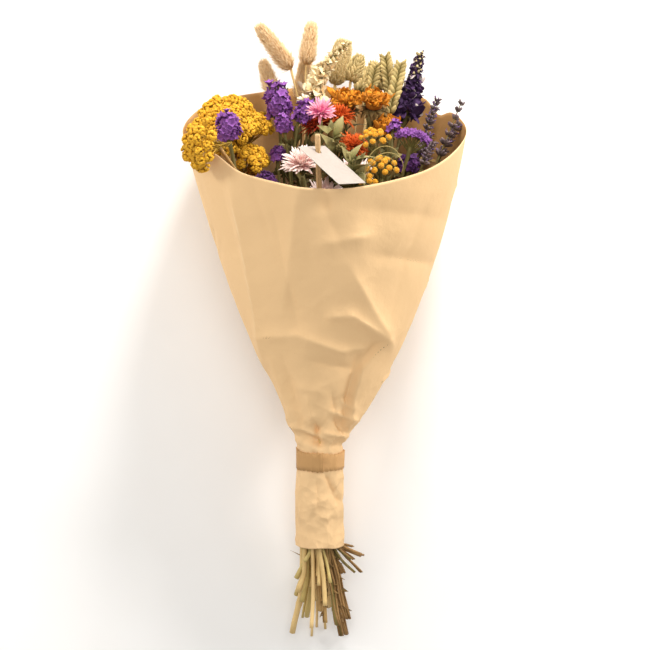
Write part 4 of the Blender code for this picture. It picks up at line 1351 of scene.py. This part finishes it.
@dataclass
class GoldenDaisy(Plant):
    """A golden head of many loose, curled petals in a shallow bowl of withered bracts."""

    petals: int = 190
    bracts: int = 54

    def grow_head(self) -> None:
        """Petals on a growth spiral from nearly flat at the rim to upright in the middle."""
        head = self.head
        count = self.petals
        seat = 0.45 * head.length
        t, turn = spiral(count)
        roots = head.around(0.66 * head.radius * np.sqrt(t), turn, seat + 0.2 * head.length * (1 - t))
        lift = np.radians(86 - 66 * t**1.3) + self.rng.normal(0, 0.25, count)
        lean = unit(head.outward(turn, lift) + self.jitter(count, 0.16))
        size = head.radius * (0.38 + 0.14 * t[:, None]) * self.varied(count, 0.8, 1.25)
        template = petal([0.12, 0.3, 0.42, 0.44, 0.36, 0.16], 0.02, 0.6, 0.0, 6)
        scales = size * self.rng.uniform(0.75, 1.15, (count, 3))
        bends = self.rng.normal(0.2, 0.7, count) / size[:, 0]
        facing = head.frame[2] + self.jitter(count, 0.35)
        self.scatter(template, Dry.GOLD, roots, lean, facing, scales, bends)
        core = revolved([0, 0.3, 0.75, 1.0], [0.2, 0.75, 0.8, 0.4], 12)
        wide = 0.75 * head.radius
        self.add_core(core, Dry.GOLD, head, (wide, wide, seat + 0.15 * head.length), 0.9)
        t, turn = spiral(self.bracts)
        roots = head.around(1.0 * MM + 0.22 * head.radius * t, turn, seat * (0.75 * t - 0.5))
        lean = unit(head.outward(turn, np.radians(34 - 40 * t)) + self.jitter(self.bracts, 0.25))
        scale = petal([0.1, 0.2, 0.24, 0.18, 0.02], 0.02, 0.3)
        size = 10.5 * MM * self.varied(self.bracts, 0.6, 1.2)
        self.scatter(scale, Dry.LEAF_BROWN, roots, lean, head.frame[2], size, -30.0)


@dataclass
class Buttons(Plant):
    """A cluster of small yellow buttons: each a half ball of tiny florets in a green cup."""

    buttons: int = 13
    button: float = 3.0 * MM
    florets: int = 34

    def grow_head(self) -> None:
        """Buttons on a growth spiral over a dome, their florets, cups and stalks."""
        head = self.head
        count = self.buttons
        t, turn = spiral(count, self.rng.random() * 6)
        wide = head.radius * 0.86 * np.sqrt(t) * self.rng.uniform(0.9, 1.1, count)
        high = head.length * 0.82 - 0.42 * head.radius * t + self.rng.normal(0, 1.0, count) * MM
        middles = head.around(wide, turn, high)
        out = unit(head.outward(turn, np.radians(90 - 48 * t)) + self.jitter(count, 0.12))
        self.branches(middles - out * self.button * 0.6, 14 * MM, 0.7 * MM, Dry.GREEN)
        facing = head.frame[0] + 0.1
        size = self.button * self.varied(count, 0.82, 1.16)
        core = revolved([-0.75, -0.45, 0.0, 0.4, 0.78, 0.9], [0.25, 0.7, 0.9, 0.82, 0.45, 0.1], 10)
        self.scatter(core, Dry.BUTTON, middles, out, facing, size)
        cup = revolved([-0.95, -0.7, -0.3, -0.05], [0.15, 0.66, 0.97, 1.0], 10, 0.06, 5)
        self.scatter(cup, Dry.BRACT, middles, out, facing, size)
        rank, lean = self.heaped(frames_along(out, facing), self.florets, 0.98)
        roots = middles[rank] + lean * size[rank] * 0.84
        bead = revolved([-0.5, 0.1, 0.6, 0.75], [0.8, 0.95, 0.6, 0.15], 6)
        small = 0.24 * size[rank] * self.varied(len(rank), 0.8, 1.2)
        self.scatter(bead, Dry.BUTTON, roots, lean, out[rank] + 0.3, small)


@dataclass
class WingedDaisy(Plant):
    """A winged everlasting: a yellow half ball ringed by short white papery rays."""

    rays: int = 18
    beads: int = 70

    def grow_head(self) -> None:
        """Two rows of rays and the beaded disc."""
        head = self.head
        seat = 0.55 * head.length
        count = self.rays
        template = petal([0.15, 0.3, 0.36, 0.28, 0.1], 0.02, 0.25, 0.0, 6)
        for row, opening in enumerate((8, 30)):
            turn = (np.arange(count) + 0.5 * row) * 2 * math.pi / count + self.rng.normal(0, 0.05, count)
            lean = head.outward(turn, np.radians(opening) + self.rng.normal(0, 0.1, count))
            size = head.radius * 0.78 * self.varied(count, 0.9, 1.1)
            roots = head.around(0.35 * head.radius, turn, seat)
            self.scatter(template, Dry.WHITE_RAY, roots, lean, head.frame[2], size)
        t, turn = spiral(self.beads)
        polar = np.arccos(1 - 0.95 * t)
        disc = 0.45 * head.radius
        roots = head.around(disc * np.sin(polar), turn, seat + 0.6 * disc * np.cos(polar))
        lean = head.outward(turn, math.pi / 2 - polar)
        bead = revolved([-0.6, 0.1, 0.6, 0.8], [0.8, 0.95, 0.6, 0.15], 6)
        self.scatter(bead, Dry.BUTTON, roots, lean, head.frame[0] + 0.1, 0.14 * head.radius)
        core = revolved([-0.6, 0.0, 0.4, 0.62], [0.25, 1.0, 0.75, 0.15], 12)
        middle = Head(head.on_axis(np.array([seat]))[0], head.frame, disc, disc)
        self.add_core(core, Dry.BUTTON, middle, (disc, disc, disc), 0.4)


@dataclass
class LeafySprig(Plant):
    """A sprig of grey-green oval leaves with a folded midrib, some of them curled and brown."""

    blades: int = 20
    blade: float = 25 * MM

    def grow_head(self) -> None:
        """Leaves up the sprig on a growth spiral."""
        head = self.head
        count = self.blades
        t, turn = spiral(count, self.rng.random() * 6)
        roots = head.around(0.8 * MM, turn, (1.5 * t - 0.75) * head.length)
        lean = unit(head.outward(turn, np.radians(16 + 50 * t)) + self.jitter(count, 0.42))
        size = self.blade * self.varied(count, 0.7, 1.15) * (1.05 - 0.35 * t[:, None])
        template = petal([0.03, 0.15, 0.25, 0.29, 0.27, 0.21, 0.11, 0.01], 0.01, 0.4, 0.0, 8)
        scales = size * self.rng.uniform(0.8, 1.15, (count, 3))
        bends = self.rng.normal(-0.3, 0.7, count) / size[:, 0]
        brown = self.rng.random(count) < 0.2
        facing = head.frame[2] + self.jitter(count, 0.6)
        for chosen, finish in ((~brown, Dry.LEAF), (brown, Dry.LEAF_BROWN)):
            if chosen.any():
                place = (roots[chosen], lean[chosen], facing[chosen])
                self.scatter(template, finish, *place, scales[chosen], bends[chosen])
        self.add_spine(-0.45, 0.8, (1.0, 0.5), self.stalk)


# Paper

RIDGE_GAIN = 1.35
RIDGE_ROUNDING = 0.6
STEP_RUN = 4.6
WEAR_REACH = 0.9
BAND_HALF = 8.0


class Bend(Enum):
    """How the paper leaves its smooth shape at a crease."""

    RIDGE = "ridge"
    STEP = "step"


@dataclass(frozen=True)
class Crease:
    """A crease on the front of the wrap, as a straight stretch seen from above: its ends from the waist,
    across and towards the flowers, its reach to each side and its height, all in millimetres. A ridge is
    sharp on its line and dies away over its reach. A step drops on its right side, over a short run, and
    comes back over its reach."""

    start: tuple[float, float]
    end: tuple[float, float]
    reach: float
    height: float
    bend: Bend = Bend.RIDGE
    wear: float = 0.0

    def lift(self, x: Array, y: Array) -> Array:
        """Height of the crease over points in millimetres: the distance from its line gives the ridge, which
        falls off exponentially, or the step, and a smooth window ends it along the line."""
        off, window = self.across(x, y)
        if self.bend is Bend.RIDGE:
            distance = np.sqrt(off**2 + RIDGE_ROUNDING)
            return RIDGE_GAIN * self.height * window * np.exp(-distance / (0.5 * self.reach))
        fall = np.clip(off / STEP_RUN, 0, 1) * np.exp(-np.clip(off, 0, None) / self.reach)
        return self.height * window * fall

    def worn(self, x: Array, y: Array) -> Array:
        """How worn the paper is along the crease's own line, 0 to its wear."""
        off, window = self.across(x, y)
        return self.wear * window * np.clip(1.4 - np.abs(off) / WEAR_REACH, 0, 1)

    def across(self, x: Array, y: Array) -> tuple[Array, Array]:
        """Distance to the right of the line, and a smooth window from 1 on it to 0 beyond its ends."""
        run = np.array(self.end) - np.array(self.start)
        length = float(np.hypot(*run))
        along = ((x - self.start[0]) * run[0] + (y - self.start[1]) * run[1]) / length
        off = ((x - self.start[0]) * run[1] - (y - self.start[1]) * run[0]) / length
        margin = 0.28 * length
        window = np.clip(np.minimum(along + margin, length + margin - along) / (2 * margin), 0, 1)
        return off, window * window * (3 - 2 * window)


# Each crease's two ends, its reach and its height, then its bend and its wear where they aren't the usual.
FRONT_CREASES = tuple(
    Crease((x, y), (end_x, end_y), *rest) for x, y, end_x, end_y, *rest in (
        (-82, 262, -66, 170, 16, 4.6, Bend.RIDGE, 0.6), (-66, 172, -52, 92, 14, 4.9, Bend.RIDGE, 0.5),
        (63, 116, 42, 88, 17, -9.5, Bend.STEP), (42, 92, 26, 24, 15, -11.5, Bend.STEP),
        (-54, 119, -17, 121, 17, 4.2), (-19, 121, 20, 106, 15, 5.7), (18, 106, 46, 110, 12, 4.1),
        (8, 139, 32, 140, 11, 4.1), (30, 140, 63, 115, 12, 6.8), (28, 184, 66, 112, 26, 5.7),
        (0, 206, 48, 214, 24, 4.9), (50, 196, 112, 190, 24, -4.6), (38, 238, 118, 232, 30, -3.5),
        (-18, 262, -34, 150, 40, 4.9), (-44, 236, -20, 126, 30, -4.1), (-44, 92, -24, 34, 10, 4.1),
        (-34, 92, -14, 18, 10, -3.2), (-8, 96, 34, 88, 13, -3.8), (-22, 70, 4, 66, 12, 1.9),
        (12, 46, 34, 38, 8, 5.4), (12, 62, 20, 24, 9, -3.2), (-26, 32, 6, 20, 6, 5.4),
        (4, 26, 26, 21, 6, 4.8), (-6, 36, 0, 14, 6, -5.8), (-16, 26, 2, 14, 5, -5.4),
        (16, 32, 24, 14, 5, 4.4), (22, 58, 34, 48, 7, 3.0), (-19, -14, -20, -88, 3.5, 2.2),
        (4, -14, 14, -34, 6, -3.2), (14, -30, 21, -16, 5, 3.0), (-12, -46, 12, -38, 10, 2.2),
        (-2, -56, 10, -60, 9, 1.9), (12, -36, 23, -44, 6, -2.4), (-4, -20, -2, -50, 8, -2.2),
        (96, 250, 60, 180, 36, 3.2), (0, 250, 22, 200, 30, -2.7), (0, 262, 8, 238, 17, -3.4),
        (-62, 262, -48, 214, 14, -1.8), (-90, 250, -60, 140, 20, -2.2), (70, 150, 100, 236, 22, -2.7),
        (-25, 24, 0, 13, 7, 5.0, Bend.STEP), (2, 30, -3, 12, 6, -4.5, Bend.STEP),
        (8, 15, 24, 24, 6, -4.5, Bend.STEP), (-28, 46, -19, 20, 6, 2.6), (-12, 60, -6, 36, 7, 3.4),
    )
)


def in_mm(*values: float) -> Any:
    """A dataclass field of values given in millimetres."""
    return field(default_factory=lambda: np.array(values) * MM)


@dataclass
class PaperWrap:
    """The kraft wrap: half-elliptical sections in front and at the back, read from stations along the
    bundle's axis, which rises from the waist to the mouth. Creases lift it off that smooth shape."""

    tilt: float = math.radians(9.5)
    paper: float = 0.3 * MM
    columns: int = 236
    rows: int = 204
    stations: Array = in_mm(-86, -50, -14, 0, 14, 42, 80, 140, 210, 285, 360)
    half_width: Array = in_mm(24.2, 24.6, 22.9, 22.9, 22.9, 37, 56, 84, 108.5, 128.5, 145)
    front: Array = in_mm(23.6, 24.2, 22.9, 22.9, 22.9, 33, 47, 68, 90, 113, 132)
    back: Array = in_mm(23.6, 24.2, 22.9, 22.9, 22.9, 34, 46.5, 65, 85.5, 107, 129)
    offset: Array = in_mm(0, 0, 0, 0, 0, 5, 8, 7.5, 7.5, 6, 2)
    hem: float = -89 * MM
    hem_front: float = 2 * MM
    hem_wave: float = 0.5 * MM
    rim: float = 317 * MM
    rim_sides: float = 5 * MM
    rim_slope: float = 38 * MM
    rim_bumps: tuple[Sequence[float], ...] = ((2.46, 0.17, 11.0), (5.68, 0.1, -9.0), (5.5, 0.08, 3.0))
    gathers: tuple[Sequence[float], ...] = (
        (0.35, 1.6), (1.15, -1.6), (1.75, 1.5), (2.5, -1.5), (3.4, 2.0), (3.95, -1.6), (4.6, 1.8),
        (5.2, -1.7), (5.8, 1.6),
    )
    loose_creases: int = 190
    leaf_gap: float = 5 * MM
    leaf_reach: float = 4 * MM
    waist: Array = field(init=False)

    def __post_init__(self) -> None:
        """Finds the waist from the stem tie."""
        low, high = (np.array(corner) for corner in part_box("stem_tie"))
        self.waist = (low + high) / 2

    def from_axis(self, station: Array, across: Array, rise: Array) -> Array:
        """Row-frame points from a station along the axis, a distance across it and a rise off it."""
        cos, sin = math.cos(self.tilt), math.sin(self.tilt)
        local = np.broadcast_arrays(across, station * cos - rise * sin, station * sin + rise * cos)
        return self.waist + np.stack(local, axis=-1)

    def section(self, station: Array) -> tuple[Array, ...]:
        """The wrap's section at a station: half width, depth in front, depth at the back, and offset."""
        curves = (self.half_width, self.front, self.back, self.offset)
        return tuple(smooth_curve(self.stations, values, station) for values in curves)

    def smooth(self, angle: Array, station: Array, inset: float) -> Array:
        """The smooth wrap at angles round the axis and stations along it."""
        half, front, back, offset = self.section(station)
        depth = np.where(np.sin(angle) > 0, front, back) - inset
        return self.from_axis(station, offset + (half - inset) * np.cos(angle), depth * np.sin(angle))

    def rim_at(self, angle: Array) -> Array:
        """The rim's station at each angle: high at the back, low in front, and wavy."""
        rim = self.rim + self.rim_sides * np.cos(angle) ** 2 - self.rim_slope * np.sin(angle)
        rim = rim + 1.2 * MM * np.sin(3 * angle + 1) + 0.8 * MM * np.sin(7 * angle)
        for place, spread, high in self.rim_bumps:
            gap = (angle - place + math.pi) % (2 * math.pi) - math.pi
            rim = rim + high * MM * np.exp(-((gap / spread) ** 2))
        return rim

    def kept_inside(self, points: Array) -> Array:
        """Leaf points drawn in towards the axis where they would reach through the paper: each point's
        section is an ellipse a little smaller than the wrap, and a point outside it moves onto it."""
        local = points - self.waist
        cos, sin = math.cos(self.tilt), math.sin(self.tilt)
        station = local[:, 1] * cos + local[:, 2] * sin
        rise = local[:, 2] * cos - local[:, 1] * sin
        half, front, back, offset = self.section(station)
        x = (local[:, 0] - offset) / (half - self.leaf_gap)
        y = rise / (np.where(rise > 0, front, back) - self.leaf_gap)
        within = (station > 0) & (station < self.rim_at(np.arctan2(y, x)) + self.leaf_reach)
        scale = np.where(within, np.minimum(1, 1 / np.maximum(np.hypot(x, y), 0.01)), 1.0)
        return self.from_axis(station, offset + (local[:, 0] - offset) * scale, rise * scale)

    def seen_from_above(self, points: Array) -> tuple[Array, Array]:
        """How far points are from the waist, across and towards the flowers, in millimetres."""
        x, y = (points[..., k] - self.waist[k] for k in (0, 1))
        return x / MM, y / MM

    def worn(self, points: Array, angle: Array) -> Array:
        """How worn each point of the front is."""
        x, y = self.seen_from_above(points)
        return sum(crease.worn(x, y) for crease in FRONT_CREASES if crease.wear) * (np.sin(angle) > 0.1)

    def loose_crease(self, rng: np.random.Generator) -> Crease:
        """A short ridge anywhere on the unrolled wrap, more of them low down and weaker high in front."""
        level = -86 + 420 * rng.random() ** 1.7
        place = rng.random() * 2 * math.pi
        width = float(smooth_curve(self.stations, self.half_width, np.array([level * MM]))[0]) / MM
        turn, long_ = rng.normal(0, 0.8), rng.uniform(12, 44)
        middle = np.array([place * width, level])
        step = 0.5 * long_ * np.array([math.sin(turn), math.cos(turn)])
        handle = 0.5 if math.sin(place) > 0 else 1.0
        near = handle if level < 0 else 1.7 if level < 70 else 1.0
        strength = near * rng.normal(0, 0.9) * (0.4 if math.sin(place) > 0.2 and level > 90 else 1.0)
        return Crease(tuple(middle - step), tuple(middle + step), rng.uniform(4, 13), strength)

    def crumple(self, points: Array, angle: Array, station: Array) -> Array:
        """How far the paper stands off the smooth shape, in metres: the front's own creases, short loose
        creases everywhere, and the gathers, which are tents round the waist that fade up the cone. All of
        them fade out under the band."""
        x, y = self.seen_from_above(points)
        lift = sum(crease.lift(x, y) for crease in FRONT_CREASES) * np.clip(np.sin(angle) * 4, 0, 1)
        rng = np.random.default_rng(7)
        around = angle * smooth_curve(self.stations, self.half_width, station) / MM
        up = station / MM
        for _ in range(self.loose_creases):
            lift = lift + self.loose_crease(rng).lift(around, up)
        fade = np.exp(-np.clip(up - 16, 0, None) / 42) * np.clip((up - 8) / 12, 0, 1)
        fade = fade + 0.35 * np.clip((-up - 10) / 14, 0, 1)
        for place, deep in self.gathers:
            gap = np.abs((angle - place + math.pi) % (2 * math.pi) - math.pi)
            lift = lift + deep * fade * np.clip(1 - gap / 0.3, 0, 1)
        return lift * MM * np.clip((np.abs(up) - BAND_HALF) / BAND_HALF, 0, 1)

    def sheet(self, inset: float) -> tuple[Array, Array]:
        """One face of the paper as a grid from hem to rim, closer in front, and how worn it is."""
        angle = circle(self.columns)[None, :]
        angle = angle + 0.42 * np.cos(angle)
        share = np.linspace(0, 1, self.rows)[:, None]
        share = 0.6 * share + 0.4 * share**2.6
        hem = self.hem + self.hem_front * np.clip(np.sin(angle), 0, 1) + self.hem_wave * np.sin(5 * angle)
        station = hem + (self.rim_at(angle) - hem) * share
        angles = np.broadcast_to(angle, station.shape)
        points = self.smooth(angles, station, inset)
        inner = self.smooth(angles, station, inset + 1 * MM)
        lift = self.crumple(points, angles, station)
        worn = self.worn(points, angles)
        points = points + unit(points - inner) * lift[..., None]
        points[..., 2] = np.maximum(points[..., 2], inset)
        return points, worn

    def build(self) -> bpy.types.Object:
        """The wrap as a closed sheet: its outside, its inside turned round, and its two cut edges.

        Returns:
            The piece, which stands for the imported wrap.
        """
        outside, worn = self.sheet(0.0)
        inside, _ = self.sheet(self.paper)
        rows, columns = worn.shape
        here = np.arange(columns)
        beside = (here + 1) % columns
        level = (np.arange(rows - 1) * columns)[:, None]
        corners = [level + here, level + here + columns, level + beside + columns, level + beside]
        outer = np.stack(corners, axis=-1).reshape(-1, 4)
        count, last = rows * columns, (rows - 1) * columns
        hem = np.stack([here, beside, beside + count, here + count], axis=-1)
        rim = np.stack([here + last, here + last + count, beside + last + count, beside + last], axis=-1)
        points = np.concatenate([outside.reshape(-1, 3), inside.reshape(-1, 3)])
        growth = np.zeros((len(points), 3))
        growth[:, 0] = np.tile(np.repeat(np.linspace(0, 1, rows), columns), 2)
        growth[:count, 2] = worn.ravel()
        quads = np.concatenate([outer, hem, rim, outer[:, ::-1] + count])
        piece = make_piece("kraft_wrap", [(Surface(points, quads, np.zeros((0, 3), int), growth), KRAFT)])
        # The inside of the sheet takes the darker kraft, which is painted shade.
        piece.data.materials.append(KRAFT_INSIDE_SHADED.material())
        slots = np.zeros(len(quads), np.int32)
        slots[-len(outer):] = 1
        piece.data.polygons.foreach_set("material_index", slots)
        settle(piece, "kraft_paper", "paper_wrap")
        return piece


@dataclass
class PaperBand:
    """The band: a strip wound round the waist that ends stuck down over its own start in front, slightly
    askew, and crumpled a little with the paper under it."""

    wrap: PaperWrap
    width: float = 18.0 * MM
    thick: float = 0.3 * MM
    radius: float = 23.4 * MM
    gap: float = 0.3 * MM
    seam: float = math.radians(84)
    overlap: float = math.radians(46)
    steps: int = 260

    def build(self) -> bpy.types.Object:
        """The band's piece: a flat section of eight points carried round the spiral.

        Returns:
            The piece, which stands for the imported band.
        """
        turns = 2 * math.pi + self.overlap
        turn = np.linspace(0, turns, self.steps)[:, None]
        angle = self.seam + self.overlap - turn
        climb = np.clip((turn - (turns - 1.6 * self.overlap)) / (0.4 * self.overlap), 0, 1)
        lift = climb * (self.thick + self.gap)
        edge = np.array([-0.5, -0.2, 0.2, 0.5, 0.5, 0.2, -0.2, -0.5])[None, :]
        outer = np.array([0, 0, 0, 0, 1, 1, 1, 1])[None, :]
        wave = 0.45 * MM * np.sin(7 * angle + 2) + 0.3 * MM * np.sin(17 * angle + 3 * edge) * (1 + edge)
        wave = wave + 0.8 * MM * (turn / turns > 0.985) * (1 + edge)
        ragged = 0.45 * MM * np.sin(31 * angle) + 0.3 * MM * np.sin(57 * angle + 1)
        ragged = ragged + 0.5 * MM * np.sin(5 * angle)
        slope = (0.35 - 1.1 * np.clip(np.cos(angle), 0, 1)) * MM
        radius = self.radius + lift + outer * self.thick + np.clip(wave, -0.1 * MM, None)
        ragged = ragged * np.sign(edge) * (np.abs(edge) > 0.4)
        station = edge * self.width * (1 - 0.08 * np.cos(angle)) + ragged + slope
        strip = solids(self.wrap.from_axis(station, radius * np.cos(angle), radius * np.sin(angle)))
        # The strip's last stretch, round the front and left of the band, is marked for the darker colour.
        darker_stretch = np.repeat((turn[:, 0] > turns - 1.9 * self.overlap).astype(float), edge.size)
        strip.growth[:, 1] = np.concatenate([darker_stretch, [0, 1]])
        piece = make_piece("waist_band", [(strip, BAND_KRAFT)])
        settle(piece, "band_paper", "paper_band")
        return piece


@dataclass
class TagPick:
    """The pick: a small split stick of birch, two rounded halves with a groove between them."""

    sides: int = 24

    def build(self) -> bpy.types.Object:
        """The stick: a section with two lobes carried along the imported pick's own line.

        Returns:
            The piece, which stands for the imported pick.
        """
        points = packed_points("tag_pick")
        middle = (points.max(axis=0) + points.min(axis=0)) / 2
        line = np.linalg.svd(points - points.mean(axis=0), full_matrices=False)[2][0]
        line = line * np.sign(line[1])
        run = (points - middle) @ line
        foot, tip = middle + run.min() * line, middle + run.max() * line
        radius = float(np.linalg.norm(points - middle - run[:, None] * line, axis=1).max())
        axis = frames_along(unit(tip - foot)[None], UP)[0]
        share = np.array([0, 0.01, 0.2, 0.4, 0.6, 0.8, 0.86, 0.87, 0.9, 0.91, 0.96, 0.985, 1.0])
        width = np.array([0.9, 1, 1, 1, 1, 1, 1, 0.86, 0.86, 1, 1, 0.97, 0.8])[:, None] * radius
        angle = circle(self.sides)[None, :]
        groove = 1 - 0.32 * np.exp(-((np.abs(np.cos(angle)) / 0.2) ** 2))
        x, y = 1.15 * width * np.cos(angle), 0.9 * width * groove * np.sin(angle)
        local = np.stack([x, y, 0 * x], axis=-1) @ axis
        grid = local + (foot + share[:, None] * (tip - foot))[:, None]
        piece = make_piece("split_pick", [(solids(grid), WOOD)])
        settle(piece, "pick_wood", "tag_pick")
        return piece


@dataclass
class Studio:
    """The pale floor, the soft light and the camera, which looks straight down on the bouquet."""

    lens: float = 120.0
    height: float = 2.2
    off_waist: tuple[float, float] = (4.9 * MM, 130.9 * MM)
    floor_reach: float = 4.0
    aim: tuple[float, float, float] = (0, 0.05, 0.08)
    air: tuple[float, float, float, float] = (1.0, 0.985, 0.96, 1)
    air_strength: float = 0.52

    def build(self, waist: Array) -> None:
        """Makes the floor, the lights and the camera.

        Args:
            waist: the middle of the stem tie.
        """
        self.lay_floor()
        self.hang_lamp("left", (-1.25, 0.6, 0.65), 0.3, 6.0)
        self.hang_lamp("right", (1.25, 0.8, 0.65), 0.3, 11.0)
        self.hang_lamp("top", (0.3, 1.55, 0.75), 0.3, 24.0)
        self.hang_lamp("above", (0.1, 0.5, 2.7), 1.6, 22.0)
        scene = bpy.context.scene
        world = bpy.data.worlds.new("studio")
        world.use_nodes = True
        sky = world.node_tree.nodes["Background"].inputs
        sky["Color"].default_value, sky["Strength"].default_value = self.air, self.air_strength
        scene.world = world
        scene.view_settings.view_transform = "Standard"
        lens = bpy.data.cameras.new("camera")
        lens.lens = self.lens
        camera = bpy.data.objects.new("camera", lens)
        camera.location = (waist[0] + self.off_waist[0], waist[1] + self.off_waist[1], self.height)
        scene.collection.objects.link(camera)
        scene.camera = camera

    def lay_floor(self) -> None:
        """The floor: one large square under the bouquet."""
        mesh = bpy.data.meshes.new("studio_floor")
        far = self.floor_reach
        mesh.from_pydata([(-far, -far, 0), (far, -far, 0), (far, far, 0), (-far, far, 0)], [], [(0, 1, 2, 3)])
        mesh.materials.append(FLOOR.material())
        floor = bpy.data.objects.new("studio_floor", mesh)
        bpy.context.scene.collection.objects.link(floor)

    def hang_lamp(self, name: str, place: tuple[float, float, float], size: float, power: float) -> None:
        """An area lamp that faces the bouquet, with its side in metres and its power in watts."""
        lamp = bpy.data.lights.new(name, "AREA")
        lamp.size, lamp.energy = size, power
        holder = bpy.data.objects.new(name, lamp)
        holder.location = place
        direction = np.array(self.aim) - np.array(place)
        pitch = math.atan2(math.hypot(direction[0], direction[1]), -direction[2])
        holder.rotation_euler = (pitch, 0, math.atan2(direction[1], direction[0]) - math.pi / 2)
        bpy.context.scene.collection.objects.link(holder)


def bed(
    kind: type[Plant], name: str, slot: str, seed: int, *own: dict[str, Any], **shared: Any
) -> list[Plant]:
    """Numbered plants of one kind.

    Args:
        kind: their class.
        name: their name without its number.
        slot: their slot.
        seed: what their numbers are added to.
        own: the settings of each one.
        shared: the settings that all of them have.

    Returns:
        The plants.
    """
    return [
        kind(f"{name}_{number}", slot, seed=seed + number, **shared, **settings)
        for number, settings in enumerate(own, 1)
    ]


def grasses() -> list[Plant]:
    """The bunny tails, canary grasses and wheat ears, each on a smooth straw."""
    straw = {"stalk": Dry.STRAW, "ridges": 0.0}
    tails = ({"spread": spread, "thickness": 0.6} for spread in (0.88, 0.76, 0.8, 0.62))
    green = BunnyTail("bunny_tail_5", "green_grass", thickness=0.7, seed=5, spread=1.1, hair=Dry.BUNNY_GREEN,
                      hairs=2600, hair_length=5.0 * MM, **straw)
    canary = bed(CanaryGrass, "canary_grass", "green_grass", 10, {}, {}, {}, thickness=0.7, **straw)
    wheat = bed(Wheat, "wheat_ear", "green_grass", 20, {}, {}, {}, spread=1.1, **straw)
    pairs = [plant for pair in zip(canary, wheat) for plant in pair]
    return [*bed(BunnyTail, "bunny_tail", "bunny_tail", 0, *tails, **straw), green, *pairs]


def spikes() -> list[Plant]:
    """The larkspurs and lavenders."""
    return [
        Larkspur("white_larkspur", "cream_flower", seed=30, petals=Dry.CREAM, edging=Dry.BUD, florets=52,
                 floret=8.4 * MM, bow=-8 * MM),
        Larkspur("purple_larkspur", "violet_flower", Dry.DARK, leaves=12, leaf_length=16 * MM, scraps=9,
                 seed=31, florets=70, floret=9 * MM),
        *bed(Lavender, "lavender", "lavender", 40, {}, {}, {}, {}, {}, stalk=Dry.DARK, leaves=9,
             leaf_length=14 * MM, scraps=7),
    ]


def statices() -> list[Plant]:
    """The statice sprays: their funnels' number, their spread and their funnels' size in millimetres."""
    sprays = (
        (116, 0.96, 5.2), (84, 0.84, 4.9), (36, 0.9, 4.9), (42, 1.0, 5.0), (18, 0.7, 4.4), (58, 1.05, 4.5),
        (44, 1.2, 5.6), (44, 1.2, 5.6), (28, 0.85, 4.9),
    )
    own = [{"funnels": funnels, "spread": spread, "funnel": size * MM} for funnels, spread, size in sprays]
    own[5]["outline"] = Spray.COMB
    # The seventh and eighth sprays sit in the shade and take the darker copy, which is painted shade.
    own[6]["colour"] = own[7]["colour"] = Dry.STATICE_SHADED
    return bed(Statice, "statice", "purple_flower", 50, *own, ridges=0.2, leaves=9, leaf_length=10 * MM,
               scraps=3)


def blooms() -> list[Plant]:
    """The yarrows, stars, safflowers, golden daisies, button clusters and the winged daisy."""
    domes = {"spread": 1.28}, {"spread": 1.28}, {"spread": 1.45}, {"spread": 1.28, "bud": (6.0, -2.0, 4.0)}
    threads = ({"thread": thread} for thread in (Dry.SAFFLOWER, Dry.SAFFLOWER_DARK, Dry.SAFFLOWER))
    clusters = {"buttons": 13}, {"buttons": 14, "tendrils": 3}, {"buttons": 6}
    return [
        *bed(Yarrow, "yarrow", "yellow_flower", 60, *domes, stalk=Dry.TAN, ridges=0.1, leaves=5,
             leaf_length=9 * MM, bud_size=6 * MM, bud_finish=Dry.GOLD),
        Star("pink_star_1", "pink_flower", leaves=14, leaf_length=17 * MM, seed=70, spread=1.1, ray=Dry.PINK,
             heart=Dry.PINK_HEART),
        *bed(Star, "pale_star", "pale_pink_flower", 70, {}, {}, {}, leaves=12, leaf_length=17 * MM,
             spread=1.15),
        *bed(Safflower, "safflower", "orange_red_flower", 80, *threads, leaves=22, leaf_length=22 * MM,
             foliage=Dry.LEAF, scraps=4, spread=1.25),
        *bed(GoldenDaisy, "golden_daisy", "orange_flower", 90, {}, {}, {}, leaves=26, leaf_length=22 * MM,
             foliage=Dry.LEAF, spread=1.2),
        *bed(Buttons, "button_cluster", "yellow_flower", 100, *clusters, leaves=13, leaf_length=18 * MM,
             scraps=4, spread=1.12),
        WingedDaisy("winged_daisy_1", "cream_flower", leaves=12, leaf_length=20 * MM, seed=110, spread=1.15),
    ]


def sprigs() -> list[Plant]:
    """The leafy sprigs. The first is the fullest and has a bud beside it."""
    fullest = {"blades": 32, "bud": (6.0, 8.0, 16.0)}
    return bed(LeafySprig, "leafy_sprig", "leaf", 120, fullest, *[{"blades": 24}] * 4, stalk=Dry.DARK,
               leaves=14, leaf_length=22 * MM, scraps=8)


def main() -> None:
    """Builds the studio, the paper, the tag and every plant."""
    logging.basicConfig(level=logging.INFO, format="%(message)s")
    wrap = PaperWrap()
    Studio().build(wrap.waist)
    wrap.build()
    PaperBand(wrap).build()
    TagPick().build()
    for node, slot, finish in (("tag_card", "card", CARD), ("stem_tie", "elastic", ELASTIC)):
        made = frame["nodes"][node]
        made.data.materials.clear()
        made.data.materials.append(finish.material())
        log.info("%s keeps its packed shape in %s", node, slot)
    for plant in (*grasses(), *spikes(), *statices(), *blooms(), *sprigs()):
        plant.build(wrap)


if __name__ == "__main__":
    main()
